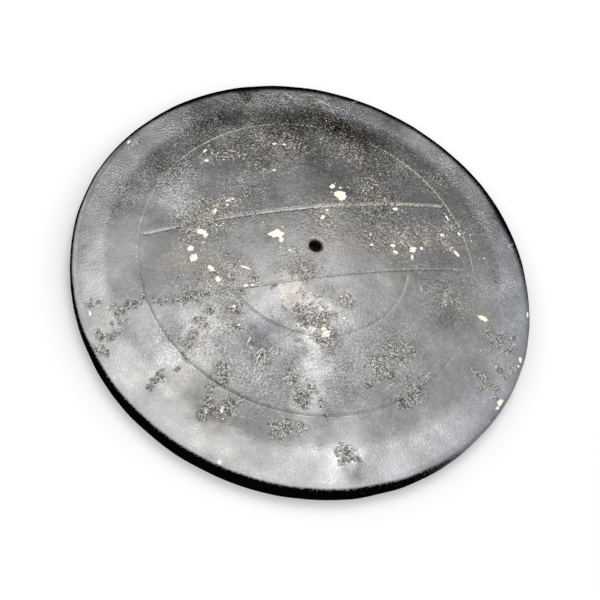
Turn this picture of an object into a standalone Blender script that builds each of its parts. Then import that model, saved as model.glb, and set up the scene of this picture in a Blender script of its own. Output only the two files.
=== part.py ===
"""Domed steel manhole cover with a key-turned locking bar, in metres, +Z up.

The rim stands on z = 0 and the middle of the cover is the Z axis. The two straight grooves
run along X. The cover is a cap: its rim goes round the neck of the shaft, its gasket lies
on the neck's top edge, and the locking bar underneath turns under lugs inside the neck.
"""

import math

import bmesh
import bpy

# Driving dimensions of the plate and its rim
COVER_RADIUS = 0.300
FLANGE_WIDTH = 0.050
FLANGE_HEIGHT = 0.030
PLATE_THICKNESS = 0.007
EDGE_RADIUS = 0.0105
SHOULDER_DROP = 0.0020
RIM_CHAMFER = 0.0010
DOME_RISE = 0.040
FOOT_FILLET = 0.060
KEY_HOLE_RADIUS = 0.0075
KEY_HOLE_LIP = 0.0030

# Driving dimensions of the sunk lines on the dome
RING_LINE_INSET = 0.035
RING_LINE_WIDTH = 0.0040
RING_LINE_FLOOR = 0.0020
RING_LINE_DEPTH = 0.0014
STRAIGHT_LINE_FAR = 0.057
STRAIGHT_LINE_NEAR = 0.0445
STRAIGHT_LINE_WIDTH = 0.0056
STRAIGHT_LINE_DEPTH = 0.0018
STRAIGHT_LINE_END_GAP = 0.0060
ARC_LINE_RADIUS = 0.1215
ARC_LINE_WIDTH = 0.0036
ARC_LINE_DEPTH = 0.0012

# Driving dimensions of the seat on the neck
SPIGOT_MARGIN = 0.0004
SPIGOT_THICKNESS = 0.005
SPIGOT_DEPTH = 0.011
GASKET_RIM_CLEARANCE = 0.0087
GASKET_THICKNESS = 0.004

# Driving dimensions of the ribs
RIB_COUNT = 8
RIB_THICKNESS = 0.006
RIB_END_DEPTH = 0.006

# Driving dimensions of the lock housing and its bushes
HOUSING_RADIUS = 0.025
HOUSING_FLANGE_WIDTH = 0.015
HOUSING_FLANGE_THICKNESS = 0.006
HOUSING_BORE_RADIUS = 0.0123
HOUSING_BORE_LENGTH = 0.0115
COUNTERBORE_RADIUS = 0.016
BUSH_FLANGE_THICKNESS = 0.0025
BUSH_LENGTH = 0.0050
LOWER_BUSH_FLANGE_RADIUS = 0.017

# Driving dimensions of the spindle and what is on it
SPINDLE_RADIUS = 0.009
SPINDLE_HEAD_RADIUS = 0.013
SPINDLE_HEAD_LENGTH = 0.012
SPINDLE_SQUARE = 0.0126
SPINDLE_END_RADIUS = 0.006
SPINDLE_END_LAND = 0.0016
KEY_SOCKET_SIDE = 0.0105
KEY_SOCKET_DEPTH = 0.009
SEAL_GROOVE_RADIUS = 0.011
SEAL_SETBACK = 0.004
THRUST_WASHER_RADIUS = 0.017
THRUST_WASHER_THICKNESS = 0.0015
RETAINING_RING_RADIUS = 0.0095
RETAINING_RING_THICKNESS = 0.0015
RETAINING_GROOVE_DEPTH = 0.0010
RETAINING_RING_OPENING = math.radians(40)

# Driving dimensions of the locking bar
BAR_REACH = 0.205
BAR_WIDTH = 0.032
BAR_THICKNESS = 0.008
BAR_JOGGLE = 0.005
BAR_CENTRE_HALF = 0.045
BAR_JOGGLE_RUN = 0.020
BAR_GROUND_CLEARANCE = 0.003
BAR_EDGE = 0.0010
PAD_LENGTH = 0.040
PAD_THICKNESS = 0.0025
PAD_END_MARGIN = 0.004
PAD_SIDE_MARGIN = 0.002
PAD_LEAD_IN = 0.0012
STOP_PIN_RADIUS = 0.003
STOP_PIN_OVERLAP = 0.006

# Clearances
GAP = 0.0003
RIB_OVER_BAR = 0.002
CUT_OVERRUN = 0.005

# Steps of the round shapes
LARGE_STEPS = 72
SMALL_STEPS = 36
DOME_STEPS = 8
FILLET_STEPS = 3
EDGE_STEPS = 5
SEAL_STEPS = 8
ARC_STEPS = 24
PIN_STEPS = 18
LINE_STEPS = 16
MERGE_DISTANCE = 1e-6
SMOOTH_ANGLE = math.radians(35)

# Worked out from the dimensions above
DOME_FOOT_RADIUS = COVER_RADIUS - FLANGE_WIDTH
DOME_RADIUS = (DOME_FOOT_RADIUS**2 + DOME_RISE**2) / (2 * DOME_RISE)
APEX = FLANGE_HEIGHT + DOME_RISE
DOME_CENTRE = APEX - DOME_RADIUS
FOOT_SLOPE = math.asin(DOME_FOOT_RADIUS / DOME_RADIUS)
FOOT_TANGENT = FOOT_FILLET * math.tan(FOOT_SLOPE / 2)
FLANGE_UNDERSIDE = FLANGE_HEIGHT - PLATE_THICKNESS
RIM_INNER_RADIUS = COVER_RADIUS - PLATE_THICKNESS
RING_LINE_RADIUS = DOME_FOOT_RADIUS - RING_LINE_INSET
SHOULDER_BOTTOM = FLANGE_HEIGHT - EDGE_RADIUS - SHOULDER_DROP
SPIGOT_RADIUS = DOME_FOOT_RADIUS + FOOT_TANGENT + SPIGOT_MARGIN
SPIGOT_INNER_RADIUS = SPIGOT_RADIUS - SPIGOT_THICKNESS
GASKET_TOP = FLANGE_UNDERSIDE - GAP
LARGE_FACET = math.cos(math.pi / LARGE_STEPS)

BAR_ARM_TOP = BAR_GROUND_CLEARANCE + BAR_THICKNESS
BAR_CENTRE_BOTTOM = BAR_GROUND_CLEARANCE + BAR_JOGGLE
BAR_CENTRE_TOP = BAR_CENTRE_BOTTOM + BAR_THICKNESS
WASHER_BOTTOM = BAR_CENTRE_TOP + GAP
LOWER_BUSH_BOTTOM = WASHER_BOTTOM + THRUST_WASHER_THICKNESS + GAP
HOUSING_BOTTOM = LOWER_BUSH_BOTTOM + BUSH_FLANGE_THICKNESS + GAP
COUNTERBORE_FLOOR = HOUSING_BOTTOM + HOUSING_BORE_LENGTH
UPPER_BUSH_TOP = COUNTERBORE_FLOOR + GAP + BUSH_FLANGE_THICKNESS
HEAD_BOTTOM = UPPER_BUSH_TOP + GAP
HEAD_TOP = HEAD_BOTTOM + SPINDLE_HEAD_LENGTH
RING_TOP = BAR_CENTRE_BOTTOM - GAP
RING_BOTTOM = RING_TOP - RETAINING_RING_THICKNESS
SPINDLE_BOTTOM = RING_BOTTOM - GAP - SPINDLE_END_LAND
SEAL_RADIUS = (COUNTERBORE_RADIUS - SEAL_GROOVE_RADIUS) / 2 - GAP
SEAL_RING_RADIUS = (COUNTERBORE_RADIUS + SEAL_GROOVE_RADIUS) / 2
SEAL_HEIGHT = HEAD_BOTTOM + SEAL_SETBACK
FLANGE_TOP = HOUSING_BOTTOM + HOUSING_FLANGE_THICKNESS
HOUSING_FLANGE_RADIUS = HOUSING_RADIUS + HOUSING_FLANGE_WIDTH
STOP_PIN_ARM = HOUSING_RADIUS + STOP_PIN_RADIUS


def clear_scene():
    """Removes every object, so that the model starts from nothing."""
    for old in list(bpy.data.objects):
        bpy.data.objects.remove(old, do_unlink=True)


def finish(name, colour, roughness, metallic):
    """One Principled material."""
    material = bpy.data.materials.new(name)
    material.use_nodes = True
    shader = material.node_tree.nodes["Principled BSDF"]
    shader.inputs["Base Color"].default_value = (*colour, 1.0)
    shader.inputs["Roughness"].default_value = roughness
    shader.inputs["Metallic"].default_value = metallic
    return material


def finishes():
    """The materials by the name of their slot."""
    return {
        "coated_steel": finish("coated_steel", (0.085, 0.087, 0.090), 0.38, 0.0),
        "bare_steel": finish("bare_steel", (0.42, 0.41, 0.39), 0.42, 1.0),
        "bronze": finish("bronze", (0.46, 0.29, 0.12), 0.40, 1.0),
        "rubber": finish("rubber", (0.022, 0.022, 0.024), 0.75, 0.0),
    }


def make_object(name, shape, material, parent=None):
    """A named object from a bmesh, with its faces pointing out and its round sides smooth."""
    bmesh.ops.recalc_face_normals(shape, faces=shape.faces)
    mesh = bpy.data.meshes.new(name)
    shape.to_mesh(mesh)
    shape.free()
    mesh.shade_smooth()
    mesh.set_sharp_from_angle(angle=SMOOTH_ANGLE)
    made = bpy.data.objects.new(name, mesh)
    made.data.materials.append(material)
    made.parent = parent
    bpy.context.scene.collection.objects.link(made)
    return made


def turned(name, profile, steps, material, parent=None):
    """A solid of revolution about Z from a closed outline of (radius, height) points."""
    shape = bmesh.new()
    points = [shape.verts.new((radius, 0.0, height)) for radius, height in profile]
    pairs = zip(points, points[1:] + points[:1])
    lines = [shape.edges.new(pair) for pair in pairs if max(v.co.x for v in pair) > 0]
    bmesh.ops.spin(
        shape,
        geom=points + lines,
        axis=(0, 0, 1),
        cent=(0, 0, 0),
        angle=2 * math.pi,
        steps=steps,
        use_merge=True,
    )
    bmesh.ops.remove_doubles(shape, verts=shape.verts, dist=MERGE_DISTANCE)
    return make_object(name, shape, material, parent)


def turned_arc(name, profile, start, sweep, steps, material, parent=None):
    """Part of a solid of revolution about Z, from the angle start on by sweep."""
    shape = bmesh.new()
    points = []
    for radius, height in profile:
        points.append(shape.verts.new((radius * math.cos(start), radius * math.sin(start), height)))
    face = shape.faces.new(points)
    bmesh.ops.spin(
        shape, geom=[face], axis=(0, 0, 1), cent=(0, 0, 0), angle=sweep, steps=steps
    )
    return make_object(name, shape, material, parent)


def slab(name, outline, side_low, side_high, material, parent=None):
    """A plate with an outline of (x, z) points, from y = side_low to y = side_high."""
    shape = bmesh.new()
    face = shape.faces.new([shape.verts.new((x, side_low, z)) for x, z in outline])
    pushed = bmesh.ops.extrude_face_region(shape, geom=[face])
    moved = [item for item in pushed["geom"] if isinstance(item, bmesh.types.BMVert)]
    bmesh.ops.translate(shape, verts=moved, vec=(0, side_high - side_low, 0))
    return make_object(name, shape, material, parent)


def box_outline(half, low, high):
    """The (x, z) outline of a box about the Z axis."""
    return [(-half, low), (half, low), (half, high), (-half, high)]


def combine(target, tool, operation):
    """Cuts a tool from a piece or joins it on, and hides the tool."""
    change = target.modifiers.new(tool.name, "BOOLEAN")
    change.operation = operation
    change.solver = "EXACT"
    change.object = tool
    tool.hide_render = True
    tool.display_type = "WIRE"


def dome_height(radius, inset=0.0):
    """Height of the dome's sphere at a radius, or of the sphere set in below it."""
    return DOME_CENTRE + math.sqrt((DOME_RADIUS - inset) ** 2 - radius**2)


def foot_arc(inset):
    """The hollow fillet from the dome to the flange, as (radius, height) points going outwards."""
    centre = DOME_FOOT_RADIUS + FOOT_TANGENT
    reach = FOOT_FILLET + inset
    points = []
    for step in range(FILLET_STEPS + 1):
        turn = FOOT_SLOPE * (1 - step / FILLET_STEPS)
        height = FLANGE_HEIGHT + FOOT_FILLET - reach * math.cos(turn)
        points.append((centre - reach * math.sin(turn), height))
    return points


def underside_height(radius):
    """Height of the plate's underside at a radius inside the rim."""
    fillet = foot_arc(PLATE_THICKNESS)
    if radius <= fillet[0][0]:
        return dome_height(radius, PLATE_THICKNESS)
    if radius >= fillet[-1][0]:
        return FLANGE_UNDERSIDE
    for (near, near_height), (far, far_height) in zip(fillet, fillet[1:]):
        if radius <= far:
            share = (radius - near) / (far - near)
            return near_height + share * (far_height - near_height)


def plate_top_profile():
    """The plate's upper side from the key hole to the rim, with the sunk ring line."""
    profile = []
    lip_radius = KEY_HOLE_RADIUS + KEY_HOLE_LIP
    lip_height = dome_height(lip_radius)
    for step in range(FILLET_STEPS + 1):
        turn = math.pi / 2 * step / FILLET_STEPS
        out = KEY_HOLE_LIP * (1 - math.cos(turn))
        down = KEY_HOLE_LIP * (1 - math.sin(turn))
        profile.append((KEY_HOLE_RADIUS + out, lip_height - down))
    half = RING_LINE_WIDTH / 2
    inner = RING_LINE_RADIUS - half
    for step in range(1, DOME_STEPS + 1):
        radius = lip_radius + (inner - lip_radius) * step / DOME_STEPS
        profile.append((radius, dome_height(radius)))
    floor_half = RING_LINE_FLOOR / 2
    for radius in (RING_LINE_RADIUS - floor_half, RING_LINE_RADIUS + floor_half):
        profile.append((radius, dome_height(radius) - RING_LINE_DEPTH))
    outer = RING_LINE_RADIUS + half
    profile.append((outer, dome_height(outer)))
    profile.extend(foot_arc(0.0))
    centre = COVER_RADIUS - EDGE_RADIUS
    for step in range(EDGE_STEPS + 1):
        turn = math.pi / 2 * (1 - step / EDGE_STEPS)
        drop = EDGE_RADIUS * (1 - math.sin(turn))
        profile.append((centre + EDGE_RADIUS * math.cos(turn), FLANGE_HEIGHT - drop))
    profile.append((COVER_RADIUS, SHOULDER_BOTTOM))
    return profile


def plate_under_profile():
    """The plate's underside from the rim back to the key hole."""
    profile = [(RIM_INNER_RADIUS, SHOULDER_BOTTOM)]
    inner_edge = EDGE_RADIUS - PLATE_THICKNESS
    centre = COVER_RADIUS - EDGE_RADIUS
    for step in range(FILLET_STEPS + 1):
        turn = math.pi / 2 * step / FILLET_STEPS
        drop = inner_edge * (1 - math.sin(turn))
        profile.append((centre + inner_edge * math.cos(turn), FLANGE_UNDERSIDE - drop))
    foot = foot_arc(PLATE_THICKNESS)
    profile.extend(reversed(foot))
    start = foot[0][0]
    for step in range(1, DOME_STEPS + 1):
        radius = start + (KEY_HOLE_RADIUS - start) * step / DOME_STEPS
        profile.append((radius, dome_height(radius, PLATE_THICKNESS)))
    return profile


def straight_line_cutter(name, side, material):
    """A cutter for one straight sunk line, whose floor follows the dome."""
    reach = math.sqrt(RING_LINE_RADIUS**2 - side**2) - STRAIGHT_LINE_END_GAP
    outline = []
    for step in range(LINE_STEPS + 1):
        along = reach * (2 * step / LINE_STEPS - 1)
        outline.append((along, dome_height(math.hypot(along, side)) - STRAIGHT_LINE_DEPTH))
    outline.append((reach, APEX + CUT_OVERRUN))
    outline.append((-reach, APEX + CUT_OVERRUN))
    half = STRAIGHT_LINE_WIDTH / 2
    return slab(name, outline, side - half, side + half, material)


def arc_line_cutter(name, material):
    """A cutter for the sunk half circle between the near straight line and the ring line."""
    half = ARC_LINE_WIDTH / 2
    floor = dome_height(ARC_LINE_RADIUS) - ARC_LINE_DEPTH
    top = APEX + CUT_OVERRUN
    inner = ARC_LINE_RADIUS - half
    outer = ARC_LINE_RADIUS + half
    end_side = STRAIGHT_LINE_NEAR + STRAIGHT_LINE_WIDTH
    start_angle = math.asin(end_side / ARC_LINE_RADIUS)
    profile = [(inner, floor), (outer, floor), (outer, top), (inner, top)]
    sweep = math.pi - 2 * start_angle
    return turned_arc(name, profile, math.pi + start_angle, sweep, ARC_STEPS, material)


def domed_plate(material):
    """The pressed plate: dome, flat flange and rounded shoulder, with its sunk lines."""
    profile = plate_top_profile() + plate_under_profile()
    plate = turned("domed_plate", profile, LARGE_STEPS, material)
    combine(plate, straight_line_cutter("far_line_cutter", STRAIGHT_LINE_FAR, material), "DIFFERENCE")
    combine(plate, straight_line_cutter("near_line_cutter", -STRAIGHT_LINE_NEAR, material), "DIFFERENCE")
    combine(plate, arc_line_cutter("arc_line_cutter", material), "DIFFERENCE")


def rim_skirt(material):
    """The rolled ring that is welded under the shoulder and stands on the ground."""
    top = SHOULDER_BOTTOM - GAP
    profile = [
        (COVER_RADIUS, top),
        (COVER_RADIUS, RIM_CHAMFER),
        (COVER_RADIUS - RIM_CHAMFER, 0.0),
        (RIM_INNER_RADIUS + RIM_CHAMFER, 0.0),
        (RIM_INNER_RADIUS, RIM_CHAMFER),
        (RIM_INNER_RADIUS, top),
    ]
    turned("rim_skirt", profile, LARGE_STEPS, material)


def spigot_ring(material):
    """The rolled ring that keeps the gasket in place and centres the cover in the neck."""
    bottom = FLANGE_UNDERSIDE - SPIGOT_DEPTH
    profile = [
        (SPIGOT_RADIUS, underside_height(SPIGOT_RADIUS) - GAP),
        (SPIGOT_RADIUS, bottom + RIM_CHAMFER),
        (SPIGOT_RADIUS - RIM_CHAMFER, bottom),
        (SPIGOT_INNER_RADIUS, bottom),
        (SPIGOT_INNER_RADIUS, underside_height(SPIGOT_INNER_RADIUS) - GAP),
    ]
    turned("spigot_ring", profile, LARGE_STEPS, material)


def sealing_gasket(material):
    """The flat rubber ring under the flange, which lies on the neck's top edge."""
    inner = SPIGOT_RADIUS + GAP
    outer = RIM_INNER_RADIUS - GASKET_RIM_CLEARANCE
    bottom = GASKET_TOP - GASKET_THICKNESS
    profile = [(outer, GASKET_TOP), (outer, bottom), (inner, bottom), (inner, GASKET_TOP)]
    turned("sealing_gasket", profile, LARGE_STEPS, material)


def rib_outline():
    """The (x, z) outline of one rib, from the lock housing out to the spigot ring."""
    inner = HOUSING_RADIUS + GAP
    outer = SPIGOT_INNER_RADIUS * LARGE_FACET - 2 * GAP
    step_radius = HOUSING_FLANGE_RADIUS + 2 * GAP
    foot = [point[0] for point in foot_arc(PLATE_THICKNESS) if point[0] < outer]
    stations = [inner + (foot[0] - inner) * step / DOME_STEPS for step in range(DOME_STEPS)]
    outline = []
    for radius in stations + foot + [outer]:
        outline.append((radius, underside_height(radius) - 2 * GAP))
    outline.append((outer, underside_height(outer) - RIB_END_DEPTH))
    outline.append((step_radius, BAR_CENTRE_TOP + RIB_OVER_BAR))
    outline.append((step_radius, FLANGE_TOP + GAP))
    outline.append((inner, FLANGE_TOP + GAP))
    return outline


def ribs(material):
    """The stiffening ribs, evenly spaced round the lock housing and clear of both bar positions."""
    pitch = 2 * math.pi / RIB_COUNT
    for number in range(RIB_COUNT):
        rib = slab(f"rib_{number + 1}", rib_outline(), -RIB_THICKNESS / 2, RIB_THICKNESS / 2, material)
        rib.rotation_euler.z = (number + 0.5) * pitch


def stop_pin_places():
    """Where the two stop pins stand: against the bar's side when it is open and when it is locked."""
    side = BAR_WIDTH / 2 + GAP + STOP_PIN_RADIUS
    return {
        "stop_pin_open": (STOP_PIN_ARM, -side),
        "stop_pin_locked": (-side, STOP_PIN_ARM),
    }


def pin_shape(name, radius, low, high, place, material):
    """An upright round pin about a place in plan."""
    pin = turned(name, [(0.0, high), (radius, high), (radius, low), (0.0, low)], PIN_STEPS, material)
    pin.location = (*place, 0.0)
    return pin


def lock_housing(material):
    """The turned housing that is welded under the middle of the dome."""
    top = underside_height(HOUSING_RADIUS) - GAP
    profile = [
        (HOUSING_RADIUS, top),
        (HOUSING_RADIUS, FLANGE_TOP),
        (HOUSING_FLANGE_RADIUS, FLANGE_TOP),
        (HOUSING_FLANGE_RADIUS, HOUSING_BOTTOM),
        (HOUSING_BORE_RADIUS, HOUSING_BOTTOM),
        (HOUSING_BORE_RADIUS, COUNTERBORE_FLOOR),
        (COUNTERBORE_RADIUS, COUNTERBORE_FLOOR),
        (COUNTERBORE_RADIUS, top),
    ]
    housing = turned("lock_housing", profile, SMALL_STEPS, material)
    low = HOUSING_BOTTOM - CUT_OVERRUN
    high = FLANGE_TOP + CUT_OVERRUN
    for name, place in stop_pin_places().items():
        hole = pin_shape(f"{name}_hole", STOP_PIN_RADIUS + GAP, low, high, place, material)
        combine(housing, hole, "DIFFERENCE")


def stop_pins(material):
    """The two dowels that hold the bar's turn to a quarter."""
    for name, place in stop_pin_places().items():
        pin_shape(name, STOP_PIN_RADIUS, BAR_CENTRE_TOP - STOP_PIN_OVERLAP, FLANGE_TOP, place, material)


def bush_profile(flange_radius, flange_low, flange_high, end):
    """The outline of a flanged bush, whose plain end points away from its flange."""
    outer = HOUSING_BORE_RADIUS - GAP
    inner = SPINDLE_RADIUS + GAP
    if end < flange_low:
        return [
            (flange_radius, flange_high),
            (flange_radius, flange_low),
            (outer, flange_low),
            (outer, end),
            (inner, end),
            (inner, flange_high),
        ]
    return [
        (outer, end),
        (outer, flange_high),
        (flange_radius, flange_high),
        (flange_radius, flange_low),
        (inner, flange_low),
        (inner, end),
    ]


def bushes(material):
    """The two flanged bushes that the spindle turns in."""
    upper_low = COUNTERBORE_FLOOR + GAP
    upper = bush_profile(COUNTERBORE_RADIUS - GAP, upper_low, UPPER_BUSH_TOP, upper_low - BUSH_LENGTH)
    turned("upper_bush", upper, SMALL_STEPS, material)
    lower_high = HOUSING_BOTTOM - GAP
    lower = bush_profile(LOWER_BUSH_FLANGE_RADIUS, LOWER_BUSH_BOTTOM, lower_high, lower_high + BUSH_LENGTH)
    turned("lower_bush", lower, SMALL_STEPS, material)


def spindle(material, axis):
    """The spindle: head with the key's socket and a seal groove, shank, square and grooved end."""
    groove_half = SEAL_RADIUS + GAP
    neck_radius = SPINDLE_END_RADIUS - RETAINING_GROOVE_DEPTH
    profile = [
        (0.0, HEAD_TOP),
        (SPINDLE_HEAD_RADIUS, HEAD_TOP),
        (SPINDLE_HEAD_RADIUS, SEAL_HEIGHT + groove_half),
        (SEAL_GROOVE_RADIUS, SEAL_HEIGHT + groove_half),
        (SEAL_GROOVE_RADIUS, SEAL_HEIGHT - groove_half),
        (SPINDLE_HEAD_RADIUS, SEAL_HEIGHT - groove_half),
        (SPINDLE_HEAD_RADIUS, HEAD_BOTTOM),
        (SPINDLE_RADIUS, HEAD_BOTTOM),
        (SPINDLE_RADIUS, WASHER_BOTTOM),
        (SPINDLE_END_RADIUS, WASHER_BOTTOM),
        (SPINDLE_END_RADIUS, RING_TOP + GAP / 2),
        (neck_radius, RING_TOP + GAP / 2),
        (neck_radius, RING_BOTTOM - GAP),
        (SPINDLE_END_RADIUS, RING_BOTTOM - GAP),
        (SPINDLE_END_RADIUS, SPINDLE_BOTTOM),
        (0.0, SPINDLE_BOTTOM),
    ]
    made = turned("spindle", profile, SMALL_STEPS, material, axis)
    half = SPINDLE_SQUARE / 2
    square_top = WASHER_BOTTOM + THRUST_WASHER_THICKNESS
    square = slab(
        "spindle_square", box_outline(half, BAR_CENTRE_BOTTOM, square_top), -half, half, material, axis
    )
    combine(made, square, "UNION")
    half = KEY_SOCKET_SIDE / 2
    outline = box_outline(half, HEAD_TOP - KEY_SOCKET_DEPTH, HEAD_TOP + CUT_OVERRUN)
    combine(made, slab("key_socket", outline, -half, half, material, axis), "DIFFERENCE")


def spindle_seal(material, axis):
    """The round rubber ring in the head's groove, which keeps water out of the bushes."""
    profile = []
    for step in range(SEAL_STEPS):
        turn = -2 * math.pi * step / SEAL_STEPS
        out = SEAL_RING_RADIUS + SEAL_RADIUS * math.cos(turn)
        profile.append((out, SEAL_HEIGHT + SEAL_RADIUS * math.sin(turn)))
    turned("spindle_seal", profile, SMALL_STEPS, material, axis)


def thrust_washer(material, axis):
    """The washer between the bar and the lower bush."""
    top = WASHER_BOTTOM + THRUST_WASHER_THICKNESS
    inner = SPINDLE_RADIUS + GAP
    profile = [
        (THRUST_WASHER_RADIUS, top),
        (THRUST_WASHER_RADIUS, WASHER_BOTTOM),
        (inner, WASHER_BOTTOM),
        (inner, top),
    ]
    turned("thrust_washer", profile, SMALL_STEPS, material, axis)


def locking_bar(material, axis):
    """The cranked bar: its middle sits on the spindle's square, its arms reach down to the lugs."""
    bend = BAR_CENTRE_HALF + BAR_JOGGLE_RUN
    outline = [
        (-BAR_REACH, BAR_GROUND_CLEARANCE),
        (-bend, BAR_GROUND_CLEARANCE),
        (-BAR_CENTRE_HALF, BAR_CENTRE_BOTTOM),
        (BAR_CENTRE_HALF, BAR_CENTRE_BOTTOM),
        (bend, BAR_GROUND_CLEARANCE),
        (BAR_REACH, BAR_GROUND_CLEARANCE),
        (BAR_REACH, BAR_ARM_TOP),
        (bend, BAR_ARM_TOP),
        (BAR_CENTRE_HALF, BAR_CENTRE_TOP),
        (-BAR_CENTRE_HALF, BAR_CENTRE_TOP),
        (-bend, BAR_ARM_TOP),
        (-BAR_REACH, BAR_ARM_TOP),
    ]
    bar = slab("locking_bar", outline, -BAR_WIDTH / 2, BAR_WIDTH / 2, material, axis)
    edge = bar.modifiers.new("eased_edges", "BEVEL")
    edge.width = BAR_EDGE
    edge.segments = 1
    edge.limit_method = "ANGLE"
    half = SPINDLE_SQUARE / 2 + GAP
    hole = box_outline(half, BAR_GROUND_CLEARANCE, BAR_CENTRE_TOP + CUT_OVERRUN)
    combine(bar, slab("bar_hole", hole, -half, half, material, axis), "DIFFERENCE")


def wedge_pads(material, axis):
    """The hard pads on the bar's arms, with a lead-in along each edge, which pull under the lugs."""
    low = BAR_ARM_TOP + GAP
    high = low + PAD_THICKNESS
    half = BAR_WIDTH / 2 - PAD_SIDE_MARGIN
    outer = BAR_REACH - PAD_END_MARGIN
    for number, sign in ((1, 1), (2, -1)):
        ends = sorted((sign * (outer - PAD_LENGTH), sign * outer))
        outline = [(ends[0], low), (ends[1], low), (ends[1], high), (ends[0], high)]
        pad = slab(f"wedge_pad_{number}", outline, -half, half, material, axis)
        edge = pad.modifiers.new("lead_in", "BEVEL")
        edge.width = PAD_LEAD_IN
        edge.segments = 1
        edge.limit_method = "ANGLE"


def retaining_ring(material, axis):
    """The split spring ring that keeps the bar on the spindle."""
    inner = SPINDLE_END_RADIUS - RETAINING_GROOVE_DEPTH + GAP
    profile = [
        (inner, RING_BOTTOM),
        (RETAINING_RING_RADIUS, RING_BOTTOM),
        (RETAINING_RING_RADIUS, RING_TOP),
        (inner, RING_TOP),
    ]
    sweep = 2 * math.pi - RETAINING_RING_OPENING
    turned_arc("retaining_ring", profile, RETAINING_RING_OPENING / 2, sweep, SMALL_STEPS, material, axis)


def lock_axis():
    """The empty on the lock's turning axis, which carries every piece that turns."""
    axis = bpy.data.objects.new("lock_axis", None)
    bpy.context.scene.collection.objects.link(axis)
    return axis


def main():
    """Builds the cover, then the lock that turns in it."""
    clear_scene()
    material = finishes()
    domed_plate(material["coated_steel"])
    rim_skirt(material["coated_steel"])
    spigot_ring(material["coated_steel"])
    sealing_gasket(material["rubber"])
    ribs(material["coated_steel"])
    lock_housing(material["coated_steel"])
    stop_pins(material["bare_steel"])
    bushes(material["bronze"])
    axis = lock_axis()
    spindle(material["bare_steel"], axis)
    spindle_seal(material["rubber"], axis)
    thrust_washer(material["bronze"], axis)
    locking_bar(material["bare_steel"], axis)
    wedge_pads(material["bare_steel"], axis)
    retaining_ring(material["bare_steel"], axis)


main()
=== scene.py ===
"""Looks of the domed manhole cover: finer visible pieces, finishes, studio and camera.

Everything is in metres in the frame of the solids: the rim stands on z = 0, the middle of the
cover is the Z axis and the two straight sunk lines run along X.
"""

import logging
import math
import random
from dataclasses import dataclass
from enum import Enum

import bmesh
import bpy
import numpy as np
from mathutils import Matrix, Vector, noise


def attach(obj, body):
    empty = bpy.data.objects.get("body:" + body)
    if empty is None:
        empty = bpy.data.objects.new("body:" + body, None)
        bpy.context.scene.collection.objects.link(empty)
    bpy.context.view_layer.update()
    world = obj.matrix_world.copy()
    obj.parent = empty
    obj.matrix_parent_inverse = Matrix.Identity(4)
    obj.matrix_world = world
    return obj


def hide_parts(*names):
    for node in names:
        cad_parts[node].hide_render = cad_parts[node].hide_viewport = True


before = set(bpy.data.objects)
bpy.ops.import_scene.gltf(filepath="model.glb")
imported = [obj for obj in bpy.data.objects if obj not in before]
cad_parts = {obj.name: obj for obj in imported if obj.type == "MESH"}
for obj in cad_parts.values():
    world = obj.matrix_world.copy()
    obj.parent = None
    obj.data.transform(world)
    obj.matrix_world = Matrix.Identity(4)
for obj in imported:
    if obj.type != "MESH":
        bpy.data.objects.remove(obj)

LOG = logging.getLogger("manhole_cover")
COVER_BODY = "cover"
MM = 0.001
MERGE_DISTANCE = 1e-6
CUT_DISTANCE = 1e-5
SHARP_ANGLE = math.radians(42)
# Least upward part of the normal of a face that belongs to the upper side
FACING_UP = 0.5
# Size and reach of the noise that makes the edges of patches ragged
RAGGED_MM = 12.0
RAGGED_REACH = 0.009
RAGGED_OTHER = Vector((31.4, 17.3, 5.2))
# Where a patch has faded out, in its own radii
PATCH_END = 1.25

Point = tuple[float, float]
# Places, and the amounts at these places
Table = tuple[tuple[float, ...], tuple[float, ...]]
Inputs = dict[str | int, object]


class Slot(Enum):
    """The record's material slots."""

    COATED_STEEL = "coated_steel"
    BARE_STEEL = "bare_steel"
    BRONZE = "bronze"
    RUBBER = "rubber"


class Wear(Enum):
    """The point attributes that carry wear, tone and painted light from the meshes to the finishes."""

    CRUST = "crust"
    DUST = "dust"
    SIDE = "side"
    # Rust round the key hole, and dark dirt with painted shade in the line floors
    RUST_AND_SHADE = "rust"
    PITTED = "pitted"
    # Paint tone together with painted sheen, glare and shade
    SHADE = "shade"
    # Cast of the ground, partly a painted sky reflection
    TINT = "tint"
    TONE = "tone"


PLATE_WEAR = tuple(wear for wear in Wear if wear is not Wear.TONE)
Sockets = dict[str | Wear, bpy.types.NodeSocket]


def linear(colour: str) -> tuple[float, float, float, float]:
    """Turns an sRGB hex colour into linear values with full alpha.

    Args:
        colour: Six hex digits after a hash sign.

    Returns:
        Red, green, blue and alpha.
    """
    values = []
    for start in (1, 3, 5):
        share = int(colour[start : start + 2], 16) / 255
        values.append(share / 12.92 if share <= 0.04045 else ((share + 0.055) / 1.055) ** 2.4)
    return (values[0], values[1], values[2], 1.0)


def set_inputs(tree: bpy.types.NodeTree, node: bpy.types.Node, inputs: Inputs) -> None:
    """Sets or links inputs of a node.

    Args:
        tree: The node tree that the node is in.
        node: The node.
        inputs: Values or output sockets by the name or number of the input socket.
    """
    for name, value in inputs.items():
        if isinstance(value, bpy.types.NodeSocket):
            tree.links.new(value, node.inputs[name])
        else:
            node.inputs[name].default_value = value


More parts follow.
